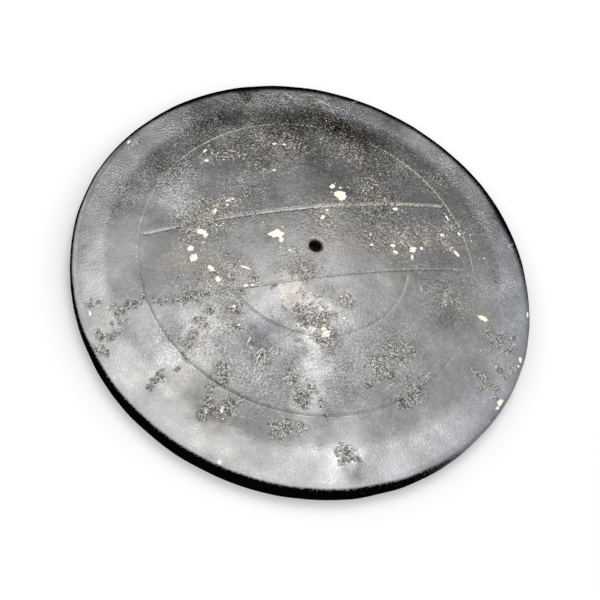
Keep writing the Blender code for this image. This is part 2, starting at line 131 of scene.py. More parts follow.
def add_node(
    tree: bpy.types.NodeTree,
    kind: str,
    inputs: Inputs | None = None,
    output: str | int = 0,
    stops: tuple[tuple[float, str], ...] = (),
    **settings: object,
) -> bpy.types.NodeSocket:
    """Adds one shader node with its settings, values and links.

    Args:
        tree: The node tree that the node goes into.
        kind: The node's type, without the words that all types start with.
        inputs: Values or output sockets by the name or number of the input socket.
        output: Name or number of the output socket that is wanted.
        stops: Places and hex colours of a colour ramp.
        settings: Properties of the node.

    Returns:
        The output socket.
    """
    node = tree.nodes.new(f"ShaderNode{kind}")
    for name, value in settings.items():
        setattr(node, name, value)
    set_inputs(tree, node, inputs or {})
    if stops:
        elements = node.color_ramp.elements
        while len(elements) < len(stops):
            elements.new(1.0)
        for element, (place, colour) in zip(elements, stops):
            element.position = place
            element.color = linear(colour)
    return node.outputs[output]


def new_material(name: str) -> tuple[bpy.types.Material, bpy.types.NodeTree, bpy.types.Node]:
    """Starts a node material.

    Args:
        name: The material's name.

    Returns:
        The material, its node tree and its Principled shader.
    """
    material = bpy.data.materials.new(name)
    material.use_nodes = True
    tree = material.node_tree
    return material, tree, tree.nodes["Principled BSDF"]


def direction(azimuth: float, elevation: float) -> Vector:
    """Unit vector at degrees round from +X and up from level.

    Args:
        azimuth: Degrees round from +X.
        elevation: Degrees up from level.

    Returns:
        The vector.
    """
    swing, rise = math.radians(azimuth), math.radians(elevation)
    across = math.cos(rise)
    return Vector((across * math.cos(swing), across * math.sin(swing), math.sin(rise)))


def per_metre(millimetres: float) -> float:
    """Texture scale whose features are about so many millimetres across."""
    return 1.0 / (millimetres * MM)


def finished_piece(name: str, shape: bmesh.types.BMesh, sharp: float = SHARP_ANGLE) -> bpy.types.Object:
    """Makes a piece from a bmesh, smooth with crisp edges, and puts it on the cover's body.

    Args:
        name: The piece's name.
        shape: The finished bmesh, which is freed.
        sharp: Angle from which an edge stays crisp.

    Returns:
        The new object.
    """
    mesh = bpy.data.meshes.new(name)
    shape.to_mesh(mesh)
    shape.free()
    mesh.shade_smooth()
    mesh.set_sharp_from_angle(angle=sharp)
    piece = bpy.data.objects.new(name, mesh)
    bpy.context.scene.collection.objects.link(piece)
    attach(piece, COVER_BODY)
    return piece


def set_attribute(mesh: bpy.types.Mesh, wear: Wear, values: np.ndarray) -> None:
    """Stores one float for each vertex.

    Args:
        mesh: The mesh that carries the attribute.
        wear: The attribute's name.
        values: One value for each vertex.
    """
    layer = mesh.attributes.new(wear.value, "FLOAT", "POINT")
    layer.data.foreach_set("value", np.ascontiguousarray(values, dtype=np.float32))


def spun(profile: list[Point], steps: int) -> bmesh.types.BMesh:
    """Spins a closed outline of (radius, height) points about Z.

    Args:
        profile: The outline.
        steps: Steps of the full turn.

    Returns:
        A closed shape with its faces pointing out.
    """
    shape = bmesh.new()
    points = [shape.verts.new((radius, 0.0, height)) for radius, height in profile]
    lines = [shape.edges.new(pair) for pair in zip(points, points[1:] + points[:1])]
    bmesh.ops.spin(
        shape,
        geom=points + lines,
        axis=(0, 0, 1),
        cent=(0, 0, 0),
        angle=2 * math.pi,
        steps=steps,
        use_merge=True,
    )
    bmesh.ops.remove_doubles(shape, verts=shape.verts, dist=MERGE_DISTANCE)
    bmesh.ops.recalc_face_normals(shape, faces=shape.faces)
    return shape


def eased(share: np.ndarray | float) -> np.ndarray | float:
    """Smooth step from 0 to 1."""
    held = np.clip(share, 0.0, 1.0)
    return held * held * (3 - 2 * held)


@dataclass(frozen=True)
class CoverShape:
    """Sizes of the pressed cover, as the solids have them."""

    radius: float = 0.300
    flange_height: float = 0.030
    thickness: float = 0.007
    edge_radius: float = 0.0105
    shoulder_bottom: float = 0.0175
    foot_radius: float = 0.250
    rise: float = 0.040
    foot_fillet: float = 0.060
    hole_radius: float = 0.0075
    hole_lip: float = 0.0030
    ring_line: float = 0.215
    far_line: float = 0.057
    near_line: float = -0.0445
    arc_line: float = 0.1215
    line_end_gap: float = 0.006

    @property
    def dome_radius(self) -> float:
        """Radius of the dome's sphere."""
        return (self.foot_radius**2 + self.rise**2) / (2 * self.rise)

    @property
    def foot_slope(self) -> float:
        """Slope of the dome at its foot."""
        return math.asin(self.foot_radius / self.dome_radius)

    @property
    def foot_centre(self) -> float:
        """Radius at which the hollow fillet meets the flat flange."""
        return self.foot_radius + self.foot_fillet * math.tan(self.foot_slope / 2)

    def dome(self, radius: float, inset: float = 0.0) -> float:
        """Height of the dome's sphere at a radius, or of the sphere set in below it."""
        centre = self.flange_height + self.rise - self.dome_radius
        return centre + math.sqrt((self.dome_radius - inset) ** 2 - radius**2)

    def foot(self, inset: float, steps: int) -> list[Point]:
        """Points of the hollow fillet from the dome out to the flange.

        Args:
            inset: Distance below the upper side.
            steps: Steps of the arc.

        Returns:
            (radius, height) points, going outwards.
        """
        reach = self.foot_fillet + inset
        points = []
        for step in range(steps + 1):
            turn = self.foot_slope * (1 - step / steps)
            height = self.flange_height + self.foot_fillet - reach * math.cos(turn)
            points.append((self.foot_centre - reach * math.sin(turn), height))
        return points

    def top(self, radius: np.ndarray | float) -> np.ndarray | float:
        """Height of the upper side, without the sunk lines.

        Args:
            radius: Distance from the middle.

        Returns:
            The height there.
        """
        dome_end = self.foot(0.0, 1)[0][0]
        sphere = self.flange_height + self.rise - self.dome_radius
        dome = sphere + np.sqrt(self.dome_radius**2 - np.minimum(radius, dome_end) ** 2)
        out = np.clip(self.foot_centre - radius, 0.0, self.foot_fillet)
        foot = self.flange_height + self.foot_fillet - np.sqrt(self.foot_fillet**2 - out**2)
        over = np.clip(radius - (self.radius - self.edge_radius), 0.0, self.edge_radius)
        drop = self.edge_radius - np.sqrt(self.edge_radius**2 - over**2)
        return np.where(radius <= dome_end, dome, foot) - drop


@dataclass(frozen=True)
class Unevenness:
    """The slight waves that pressing, handling and use left in the cover."""

    dent_depth: float = 0.00055
    dent_width: float = 0.110
    ripple_depth: float = 0.00014
    ripple_width: float = 0.034
    # Where the ripples are read in the noise, apart from the dents
    ripple_level: float = 0.02
    rim_wave: float = 0.0016
    rim_waves: float = 1.7
    rim_wave_at: tuple[float, float, float] = (4.0, 0.0, 0.0)
    rim_nick: float = 0.0007
    rim_nicks: float = 9.0
    rim_nick_at: float = 7.0
    rim_nick_rise: float = 20.0
    rim_start: float = 0.262
    rim_blend: float = 0.03
    # How far the rim is out of round: smaller all round, with waves round it given by their number,
    # their height and the degrees round from X where they are highest
    rim_shrunk: float = 0.0012
    rim_swells: tuple[tuple[int, float, float], ...] = ((1, 0.0022, -56.0), (2, 0.0023, -88.0))

    def at(self, place: Vector) -> Vector:
        """How far a point of the cover is off its true place.

        Args:
            place: The true place.

        Returns:
            The move.
        """
        wide = Vector((place.x, place.y, 0.0)) / self.dent_width
        fine = Vector((place.x, place.y, self.ripple_level)) / self.ripple_width
        lift = noise.noise(wide) * self.dent_depth + noise.noise(fine) * self.ripple_depth
        radius = math.hypot(place.x, place.y)
        share = eased((radius - self.rim_start) / self.rim_blend)
        if radius < MERGE_DISTANCE or share == 0.0:
            return Vector((0.0, 0.0, lift))
        out = Vector((place.x / radius, place.y / radius, 0.0))
        wave = noise.noise(out * self.rim_waves + Vector(self.rim_wave_at)) * self.rim_wave
        nick_at = Vector((0.0, self.rim_nick_at, place.z * self.rim_nick_rise))
        nick = noise.noise(out * self.rim_nicks + nick_at) * self.rim_nick
        turn = math.atan2(place.y, place.x)
        off_round = -self.rim_shrunk
        for waves, height, highest in self.rim_swells:
            off_round += height * math.cos(waves * (turn - math.radians(highest)))
        return out * (off_round + wave + nick) * share + Vector((0.0, 0.0, lift * (1 - share)))


@dataclass(frozen=True)
class Patch:
    """A round place on the cover: x, y and radius in millimetres, and how strong it is."""

    x: float
    y: float
    radius: float
    strength: float = 1.0


@dataclass(frozen=True)
class Chip:
    """A flake or sliver: place, length and width in millimetres, and turn in degrees."""

    x: float
    y: float
    length: float
    width: float
    turn: float = 0.0


def strayed(places: np.ndarray) -> np.ndarray:
    """Moves points in plan a little, so that what is laid over them gets ragged edges.

    Args:
        places: Rows of x and y in metres.

    Returns:
        The moved rows.
    """
    scaled = [Vector((x, y, 0.0)) * per_metre(RAGGED_MM) for x, y in places[:, :2]]
    drift = np.array([(noise.noise(spot), noise.noise(spot + RAGGED_OTHER)) for spot in scaled])
    return places[:, :2] + drift * RAGGED_REACH


def field_of(patches: list[Patch], places: np.ndarray, join: np.ufunc = np.maximum) -> np.ndarray:
    """Lays soft round patches over points in plan.

    Args:
        patches: The patches.
        places: Rows of x and y in metres.
        join: How patches that overlap go together.

    Returns:
        One value for each point.
    """
    total = np.zeros(len(places))
    for patch in patches:
        away = np.hypot(places[:, 0] - patch.x * MM, places[:, 1] - patch.y * MM)
        share = np.clip(PATCH_END - away / (patch.radius * MM), 0.0, 1.0)
        total = join(total, patch.strength * share)
    return total


# Flaked, dirty patches in plan, in millimetres
CRUST_PATCHES = [
    Patch(*row)
    for row in (
        (-247, -41, 9), (-238, -38, 9), (-228, -34, 9), (-218, -30, 7, 0.9), (-242, -53, 7, 0.8),
        (-275, -67, 7, 0.8), (-264, -70, 7, 0.8), (-254, -68, 8, 0.8), (-280, -84, 8), (-276, -92, 7, 0.9),
        (-283, -27, 7, 0.8), (-268, -28, 6, 0.8), (-280, 51, 5, 0.7), (-225, -141, 6, 0.8), (-215, -135, 8),
        (-257, -51, 6, 0.7), (-174, -95, 12), (-158, -77, 9), (-146, -66, 6, 0.8), (-116, -70, 10),
        (-209, -125, 9), (-193, -127, 7, 0.9), (-181, -115, 6, 0.8), (-222, -131, 5, 0.8), (-147, -144, 14),
        (-162, -160, 9, 0.9), (-165, -178, 16), (-145, -184, 13), (-127, -179, 8, 0.8),
        (-119, -95, 10, 0.8), (-98, -135, 15, 0.85), (-107, -120, 9, 0.8), (-67, -163, 14), (-60, -190, 15),
        (-47, -179, 9, 0.9), (-90, -217, 16), (-70, -219, 11), (-39, -196, 9, 0.9), (-38, -212, 7, 0.8),
        (-23, -98, 18), (-17, -124, 20), (-39, -88, 12, 0.9), (-7, -96, 10, 0.9), (-24, -36, 14, 0.85),
        (-10, -30, 8, 0.7), (18, -78, 13, 0.7), (42, -166, 22), (25, -186, 10, 0.9), (68, -154, 18, 0.9),
        (54, -140, 10, 0.9), (86, -150, 11, 0.8), (80, -198, 20), (60, -210, 13), (98, -186, 10, 0.8),
        (-21, -255, 13), (-11, -265, 8, 0.9), (-26, -265, 7, 0.8), (-24, -242, 5, 0.8),
        (178, -193, 10, 0.9), (169, -184, 9, 0.9), (184, -207, 9, 0.9), (169, -206, 7, 0.7),
        (200, -184, 9, 0.8), (209, -192, 8, 0.8), (221, -184, 8, 0.7), (183, -221, 7, 0.8),
        (166, -247, 7, 0.7), (205, -133, 11, 0.9), (216, -145, 11, 0.9), (223, -160, 8, 0.8),
        (201, -155, 8, 0.8), (223, -133, 9, 0.8), (235, -145, 7, 0.7), (211, -118, 9, 0.7),
        (-206, -41, 4, 0.9), (-199, -40, 5), (-191, -43, 4, 0.9), (-183, -41, 5), (-175, -44, 6),
        (-166, -41, 5, 0.9), (-159, -43, 4), (-151, -42, 4, 0.9), (-143, -43, 4, 0.9), (-134, -42, 4, 0.9),
        (-124, -45, 5), (-115, -47, 7), (-107, -50, 6, 0.9), (-171, -50, 5, 0.8), (-200, -32, 4, 0.7),
        (-113, -27, 8, 0.8), (-85, -31, 9, 0.8), (-64, -47, 5, 0.8), (-89, 62, 5, 0.7), (-81, 63, 6, 0.8),
        (-70, 56, 6, 0.8), (-61, 57, 5, 0.8), (-129, 76, 10, 0.7), (-120, 65, 9, 0.7), (-145, 59, 8, 0.7),
        (-154, 51, 9, 0.6), (-136, 67, 8, 0.7), (154, -84, 13, 0.75), (172, -96, 11, 0.75),
        (137, -74, 9, 0.6), (-110, 0, 13, 0.6), (-125, 65, 14, 0.8), (-108, 75, 9, 0.7), (-91, 81, 10, 0.7),
        (-190, 211, 11, 0.8), (63, 30, 16, 0.55), (92, 20, 14, 0.5), (52, 61, 10, 0.7), (27, 271, 12, 0.6),
        (49, 265, 11, 0.7), (87, 256, 12, 0.7), (128, -14, 12, 0.7), (187, -11, 11, 0.6),
        (-152, 8, 12, 0.6), (-129, -18, 11, 0.6), (-103, 162, 14, 0.6), (0, 173, 11, 0.5),
    )
]

# Wrinkled paint with thin dirt on it, in millimetres
WRINKLED_PATCHES = [
    Patch(*row)
    for row in (
        (-143, -108, 42, 0.27), (-64, -139, 55, 0.3), (46, -150, 55, 0.3), (-24, -79, 50, 0.3),
        (-143, 1, 50, 0.27), (116, -100, 50, 0.2), (-109, 66, 50, 0.3), (55, 31, 60, 0.27),
        (145, -9, 50, 0.27), (-153, 150, 40, 0.3), (-6, 162, 70, 0.27),
    )
]

# Tan dust that lies in the lines and hollows, in millimetres
DUST_PATCHES = [
    Patch(*row)
    for row in (
        (-124, 62, 16, 0.7), (-141, 51, 22, 0.55), (-114, 75, 22, 0.55), (-90, 85, 18, 0.5),
        (-96, 59, 22, 0.45), (-153, 37, 18, 0.45), (-131, 93, 16, 0.4), (150, 10, 30, 0.45),
        (180, 0, 24, 0.5), (201, 22, 16, 0.6), (139, 111, 26, 0.3), (164, 129, 20, 0.4),
        (-29, 185, 26, 0.4), (11, 181, 24, 0.4), (59, 181, 26, 0.35), (99, 162, 26, 0.4),
        (-78, 165, 22, 0.35), (55, 131, 20, 0.3), (218, 106, 22, 0.4), (160, -87, 22, 0.45),
        (-19, -100, 30, 0.45), (-24, -36, 18, 0.5), (94, 142, 26, 0.5), (-67, 164, 24, 0.5),
        (-51, 139, 22, 0.4), (106, 94, 24, 0.45), (21, 170, 26, 0.45), (121, 4, 22, 0.6),
        (-39, 128, 14, 0.4), (100, -14, 22, 0.4), (129, -45, 14, 0.4), (46, 265, 20, 0.4),
    )
]

# Darker and lighter ground, partly the paint's own tone and partly painted sheen, glare and shade, in
# millimetres
SHADE_PATCHES = [
    Patch(*row)
    for row in (
        (-60, 5, 75, -0.25), (135, 150, 60, -0.2), (45, 185, 60, -0.2), (-130, 130, 55, 0.5),
        (0, 270, 50, -0.15), (15, 35, 50, 0.15), (55, 230, 40, -0.5), (-230, 55, 45, 0.35),
        (-75, 250, 40, -0.7), (-185, -40, 40, 0.15), (120, -260, 40, 0.2), (-5, 115, 35, 0.35),
        (-225, -60, 35, 0.6), (-245, 15, 35, 0.25), (-155, 100, 30, 0.9), (-60, -230, 30, 0.4),
        (-260, -120, 30, 0.35), (-285, 5, 30, 0.3), (160, -115, 30, -0.2), (100, 205, 30, -1.0),
        (10, 215, 30, -0.45), (-190, -130, 28, 1.0), (-210, -105, 22, 0.8), (40, -285, 25, 0.4),
        (215, 185, 25, 0.6), (-160, 165, 25, -0.55), (-155, 240, 25, 0.3), (255, -60, 40, 0.25),
        (-95, -105, 25, -0.5), (-10, -240, 25, 0.7), (-25, -257, 20, 1.1), (180, 220, 25, -0.6),
        (130, 175, 30, -0.5), (-200, 120, 22, 0.5), (-165, -188, 25, -0.5), (-40, -160, 22, 1.0),
        (-55, -192, 20, 1.0), (-160, -77, 26, 1.0), (-20, -95, 25, 0.8), (-30, -125, 18, 0.9),
        (-160, -117, 18, 0.6), (245, 140, 20, 0.5), (-20, 286, 20, -0.75), (285, 40, 20, -0.55),
        (-245, -68, 18, -0.5), (-20, -276, 16, -0.6), (110, 265, 20, -0.4), (110, 0, 25, 0.35),
        (75, 140, 30, 0.4), (-45, -48, 20, 0.4), (-45, -283, 22, 0.4), (5, -68, 20, -0.4),
        (-60, 120, 25, 0.5), (-65, 198, 22, 0.45), (-65, -90, 20, -0.4), (-120, -230, 40, -0.2),
    )
]

# Places with a blue-grey cast (above zero) or a brown one (below), in millimetres
TINT_PATCHES = [
    Patch(*row)
    for row in (
        (95, 206, 34, 1.8), (-88, 253, 30, 1.0), (14, 266, 36, 0.9), (141, 129, 25, 0.4),
        (-77, -88, 20, 0.6), (-97, -108, 20, 0.6), (11, 209, 25, 0.4), (-9, -111, 18, 0.5),
        (203, -16, 20, -0.7), (-159, 10, 25, -0.7), (75, -4, 25, -0.5), (-185, -144, 25, -0.5),
        (248, 105, 15, -0.5), (-154, -183, 22, -0.5), (158, -10, 20, -0.5), (-44, -63, 20, -0.7),
        (-11, 179, 22, -0.5), (-132, -14, 25, -0.5), (203, -103, 20, -0.5), (38, -1, 22, -0.5),
        (-31, -86, 18, -0.5), (100, -48, 20, -0.4), (-168, -100, 20, -0.5), (22, 38, 22, -0.4),
        (103, 139, 22, -0.4), (107, -8, 20, -0.4), (78, 154, 20, -0.4), (101, 69, 25, -0.4),
    )
]

# Scuffed and pitted ground, in millimetres
PITTED_PATCHES = [
    Patch(*row)
    for row in (
        (0, 268, 60, 0.9), (-90, 216, 60, 0.8), (-6, 197, 70), (83, 208, 70), (144, 143, 60, 0.9),
        (-153, 150, 45, 0.8), (200, 108, 40, 0.7), (104, 62, 50, 0.8), (-131, 67, 40, 0.8),
        (90, 19, 40, 0.6), (218, 22, 45, 0.5), (-123, -29, 40, 0.5), (-30, -29, 30, 0.5),
        (-143, -88, 50, 0.3), (-24, -109, 50, 0.4), (-94, -149, 60, 0.3), (56, -150, 50, 0.3),
        (156, -85, 40, 0.5), (-65, 101, 40, 0.4), (25, 41, 40, 0.4), (262, 41, 45, 0.4),
        (240, 130, 45, 0.5), (255, -60, 40, 0.25), (-216, 130, 40, 0.4), (-153, -38, 40, 0.3),
        (-182, -98, 40, 0.3), (-4, -170, 40, 0.3), (186, -59, 40, 0.3),
    )
]

# Places scored down to the steel, in millimetres and degrees
SCRATCHES = [
    Chip(*row)
    for row in (
        (-99.6, -126.7, 17, 1.0, 35), (-98.6, -129.7, 11, 0.9, 47), (-101.6, -134.6, 15, 0.9, 57),
        (-107.5, -110.6, 10, 1.6, 59), (-103.5, -156.7, 9, 1.0, 49), (-107.5, -158.6, 8, 0.8, 45),
        (-142.9, -112.2, 10, 1.0, 35), (-136, -114.3, 12, 0.9, 68), (-132.1, -131.3, 9, 0.9, 102),
        (-84.8, -126.8, 8, 0.9, 41), (-78.8, -131.9, 8, 0.9, 53), (-107.5, -146.6, 8, 0.9, 63),
        (-100.6, -140.7, 16, 0.9, 58), (-72.9, -134.9, 10, 0.8, 114), (39, 274, 20, 1.2, 135),
        (54, 265, 16, 0.9, 168), (78, 264, 13, 1.1, 159), (91, 254, 21, 1.3, 131),
        (96, 238.8, 18, 1.2, 107), (92, 266, 10, 1.0, 102), (133, 256, 12, 1.0, 15),
        (68, 273, 19, 0.8, 164), (77.9, -141.3, 18, 0.7, 121), (50, -188.6, 14, 0.9, 20),
        (66.8, -146.3, 9, 1.0, 152), (285, -12, 12, 1.0, 122), (286, -8, 12, 1.0, 28),
        (284, -6, 11, 0.8, 127), (281, 4, 11, 0.8, 140), (-150.7, -117.1, 10, 0.8, 66),
        (-143.9, -124.2, 9, 0.8, 64), (-118.3, -122.5, 9, 0.7, 56), (-93.7, -134.7, 11, 0.7, 61),
        (-112.4, -159.5, 9, 0.7, 56), (-152.7, -103.1, 12, 0.8, 31),
    )
]

# Cream chips, in millimetres and degrees
CHIPS = [
    Chip(*row)
    for row in (
        (54.2, 73.7, 18, 14, 80), (47.1, 88.7, 8, 6, 30), (-45.7, 22.2, 16, 12, 10),
        (-41.7, 13.2, 8, 6, 70), (-150.8, 7.4, 11, 9, 60), (-151.8, 21.3, 8, 7), (-134.2, 42.2, 13, 8, 150),
        (-130.3, 36.2, 7, 6, 40), (203.4, -113.4, 17, 6, 160), (129.2, -14.9, 11, 8, 20),
        (124.3, -27, 8, 3.4, 70), (142.3, -13.8, 5, 4.6), (-133.1, -11.6, 10, 6, 120),
        (-128.2, -27.5, 9, 6, 100), (-15.4, -118.4, 11, 8, 15), (-17.4, -112.3, 7, 4),
        (194.1, -20.7, 10, 5, 120), (103.1, -18.9, 7, 5, 150), (102, -8.8, 7, 5, 10),
        (19.6, 39.4, 8, 5, 50), (124.5, 48.9, 8, 4.6, 20), (-104.3, 156.7, 6, 5), (-102.5, 175.6, 8, 3, 40),
        (187, -225, 12, 6, 35), (181, -231, 6, 3.4, 30), (235, -174, 7, 5, 60), (229, -182, 4, 3),
        (181.5, 7.6, 6, 5), (200.5, 37.2, 8, 3.2, 100), (-111.8, 70.1, 9, 4, 60),
        (-92.9, -18.7, 12, 3, 150), (-9.1, 173.6, 6, 4), (3.8, 170.7, 5, 3.6), (-93.2, 83.1, 6, 3.2),
        (-86.3, 84.1, 4, 2.6), (-95.1, 76.1, 4, 2.6), (28.5, 50.4, 4.4, 4), (209.9, 10.9, 6, 4, 80),
        (-97.7, -42.7, 6, 3.4), (-89.9, -43.7, 4, 3), (-166, -242, 5, 4), (-22.6, 124.4, 4.6, 3),
        (72.8, -6.9, 5.4, 2.8), (57.1, 85.8, 4, 3.2), (-34.7, -3.8, 4, 2.6), (47.4, 57.6, 3.6, 2.4),
        (75.7, 8.3, 3.4, 2.4), (228.3, 11, 3.2, 2.2), (237, -25.6, 4.4, 2.2), (-151.8, -183, 7, 4, 70),
        (14.3, -74.3, 3.2, 2), (88.1, 79.9, 3, 2.2), (-86.8, 167.8, 3, 2), (-82.8, 153.9, 3, 2),
        (199.3, 44.3, 3, 2), (185.9, -15.7, 3, 2), (115.3, 66, 3, 2), (-116.4, -66.5, 5, 3),
        (-115.4, -90.5, 3.4, 2.4), (-114.7, 48.2, 3, 2), (-284, -39, 6, 4, 90), (-198, 211, 6, 3, 50),
        (271, -114, 9, 2.6, 65), (10.5, -102.5, 4, 3),
    )
]


@dataclass(frozen=True)
class WornBitumenPaint:
    """Bitumen paint on pressed steel, brushed on and long walked over.

    Thin paint keeps the dull shine of the steel on the flat and the dome, and the colour turns matt
    and near-black round the shoulder and the rim. Flaked patches are dirty and rough.
    """

    name: str = "worn bitumen paint on steel"
    dark: str = "#5c5c5d"
    middle: str = "#8b8b8b"
    light: str = "#c4c3c1"
    black: str = "#050505"
    # Crust colours: the darkest is painted shade along the flake edges, and the pale one also paints their
    # highlights
    crust_edge_shade: str = "#4e4d4b"
    crust_mid: str = "#8c8a86"
    crust_pale_and_highlight: str = "#cac7c1"
    dust: str = "#c4baa9"
    fleck: str = "#b2b2b0"
    # Rust round the key hole; also the dark dirt and painted shade in the line floors
    rust: str = "#2b1d14"
    warm: str = "#fff7ea"
    untinted: str = "#ffffff"
    cool: str = "#eef4ff"
    shine: float = 0.9
    roughness: float = 0.39
    dirt_roughness: float = 0.85
    mottle_mm: float = 45.0
    flake_mm: float = 7.0
    grit_mm: float = 2.0
    pit_mm: float = 3.0
    curl_mm: float = 4.0
    pit_depth_mm: float = 0.5
    flake_depth_mm: float = 0.8

    def patterns(self, tree: bpy.types.NodeTree) -> Sockets:
        """Adds the noise that breaks up the paint, and reads the wear that the mesh carries.

        Args:
            tree: The material's node tree.

        Returns:
            Output sockets by the pattern's plain name or its kind of wear.
        """
        place = add_node(tree, "TexCoord", output="Object")
        found = {}
        for wear in PLATE_WEAR:
            found[wear] = add_node(tree, "Attribute", output="Fac", attribute_name=wear.value)
        for name, size, detail in (
            ("mottle", self.mottle_mm, 5.0),
            ("flake", self.flake_mm, 4.0),
            ("grit", self.grit_mm, 0.6),
            ("pit", self.pit_mm, 1.0),
            ("curl", self.curl_mm, 1.5),
        ):
            inputs = {"Vector": place, "Scale": per_metre(size), "Detail": detail, "Roughness": 0.65}
            found[name] = add_node(tree, "TexNoise", inputs)
        for name, source, times, more in (
            ("ragged", "flake", 1.5, -0.75),
            ("spread", "grit", 1.0, -0.5),
            ("level", "curl", 1.0, -0.5),
            ("blotch", "mottle", 0.4, 0.3),
            ("uneven", "ragged", 1.8, 1.1),
        ):
            inputs = {0: found[source], 1: times, 2: more}
            found[name] = add_node(tree, "Math", inputs, operation="MULTIPLY_ADD")
        inputs = {0: found[Wear.PITTED], 1: found["uneven"]}
        found["scuffed"] = add_node(tree, "Math", inputs, operation="MULTIPLY")
        return found

    def thin_paint(self, tree: bpy.types.NodeTree, found: Sockets) -> bpy.types.NodeSocket:
        """Colours the clean thin paint: speckled, darker and lighter in places, partly with painted sheen
        and shade, with a slight cast.

        Args:
            tree: The material's node tree.
            found: The patterns and the wear.

        Returns:
            The colour.
        """
        inputs = {0: found["scuffed"], 1: 1.5, 2: 0.4}
        grain = add_node(tree, "Math", inputs, operation="MULTIPLY_ADD")
        inputs = {0: found["spread"], 1: grain, 2: found["blotch"]}
        speckle = add_node(tree, "Math", inputs, operation="MULTIPLY_ADD")
        stops = ((0.24, self.dark), (0.46, self.middle), (0.54, self.middle), (0.80, self.light))
        colour = add_node(tree, "ValToRGB", {"Fac": speckle}, stops=stops)
        inputs = {0: found["mottle"], 1: 0.7, 2: 0.65}
        lighter = add_node(tree, "Math", inputs, operation="MULTIPLY_ADD")
        # The shade attribute adds painted sheen, glare and shade as well as the paint's own lighter and
        # darker tone
        lighter = add_node(tree, "Math", {0: found[Wear.SHADE], 1: lighter}, operation="ADD")
        for factor, share in ((found["ragged"], 0.4), (found[Wear.PITTED], -0.3)):
            inputs = {0: factor, 1: share, 2: lighter}
            lighter = add_node(tree, "Math", inputs, operation="MULTIPLY_ADD")
        colour = add_node(tree, "VectorMath", {0: colour, "Scale": lighter}, operation="SCALE")
        # The cast is partly a painted reflection of the cool sky
        cast = add_node(tree, "Math", {0: found[Wear.TINT], 1: 0.5, 2: 0.5}, operation="MULTIPLY_ADD")
        stops = ((0.0, self.warm), (0.5, self.untinted), (1.0, self.cool))
        tint = add_node(tree, "ValToRGB", {"Fac": cast}, stops=stops)
        return add_node(tree, "VectorMath", {0: colour, 1: tint}, operation="MULTIPLY")

    def masks(self, tree: bpy.types.NodeTree, found: Sockets) -> Sockets:
        """Works out where crust, dust, the black edge and bright flecks cover the thin paint.

        Args:
            tree: The material's node tree.
            found: The patterns and the wear.

        Returns:
            Shares covered.
        """
        inputs = {0: found["spread"], 1: 0.3, 2: found["level"]}
        speck = add_node(tree, "Math", inputs, operation="MULTIPLY_ADD")
        inputs = {0: found["spread"], 1: found[Wear.SIDE]}
        edge_break = add_node(tree, "Math", inputs, operation="MULTIPLY")
        masks = {}
        for wear, breaker, share, low, high, most in (
            (Wear.CRUST, found["ragged"], 1.0, 0.3, 0.75, 0.9),
            (Wear.DUST, speck, 2.2, 0.55, 0.75, 0.8),
            (Wear.SIDE, edge_break, 1.8, 0.05, 0.5, 1.0),
        ):
            inputs = {0: breaker, 1: share, 2: found[wear]}
            broken = add_node(tree, "Math", inputs, operation="MULTIPLY_ADD")
            inputs = {"Value": broken, "From Min": low, "From Max": high, "To Max": most}
            masks[wear] = add_node(tree, "MapRange", inputs)
        # Dust also lies in thin veins, and the scuffed ground has bright flecks
        off_level = add_node(tree, "Math", {0: found["level"]}, operation="ABSOLUTE")
        inputs = {"Value": off_level, "From Min": 0.0, "From Max": 0.04, "To Min": 0.45, "To Max": 0.0}
        vein = add_node(tree, "MapRange", inputs)
        vein = add_node(tree, "Math", {0: vein, 1: found[Wear.PITTED]}, operation="MULTIPLY")
        masks[Wear.DUST] = add_node(tree, "Math", {0: masks[Wear.DUST], 1: vein}, operation="MAXIMUM")
        inputs = {"Value": found["spread"], "From Min": 0.09, "From Max": 0.22, "To Max": 0.75}
        fleck = add_node(tree, "MapRange", inputs)
        masks["fleck"] = add_node(tree, "Math", {0: fleck, 1: found["scuffed"]}, operation="MULTIPLY")
        return masks

    def relief(
        self,
        tree: bpy.types.NodeTree,
        found: Sockets,
        crust: bpy.types.NodeSocket,
    ) -> bpy.types.NodeSocket:
        """Roughens the surface with pits, and with flakes where there is crust.

        Args:
            tree: The material's node tree.
            found: The patterns and the wear.
            crust: Where there is crust.

        Returns:
            The surface's direction.
        """
        depth = add_node(tree, "Math", {0: found["scuffed"], 1: 1.6, 2: 0.42}, operation="MULTIPLY_ADD")
        pits = add_node(tree, "Math", {0: found["pit"], 1: depth}, operation="MULTIPLY")
        inputs = {"Height": pits, "Strength": 1.0, "Distance": self.pit_depth_mm * MM}
        pitted = add_node(tree, "Bump", inputs)
        inputs = {"Value": found["curl"], "From Min": 0.44, "From Max": 0.54}
        flaked = add_node(tree, "MapRange", inputs, interpolation_type="SMOOTHSTEP")
        raised = add_node(tree, "Math", {0: flaked, 1: crust}, operation="MULTIPLY")
        inputs = {"Height": raised, "Strength": 1.0, "Distance": self.flake_depth_mm * MM, "Normal": pitted}
        return add_node(tree, "Bump", inputs)

    def material(self) -> bpy.types.Material:
        """Builds the finish.

        Returns:
            The material.
        """
        material, tree, shader = new_material(self.name)
        found = self.patterns(tree)
        masks = self.masks(tree, found)
        colour = self.thin_paint(tree, found)
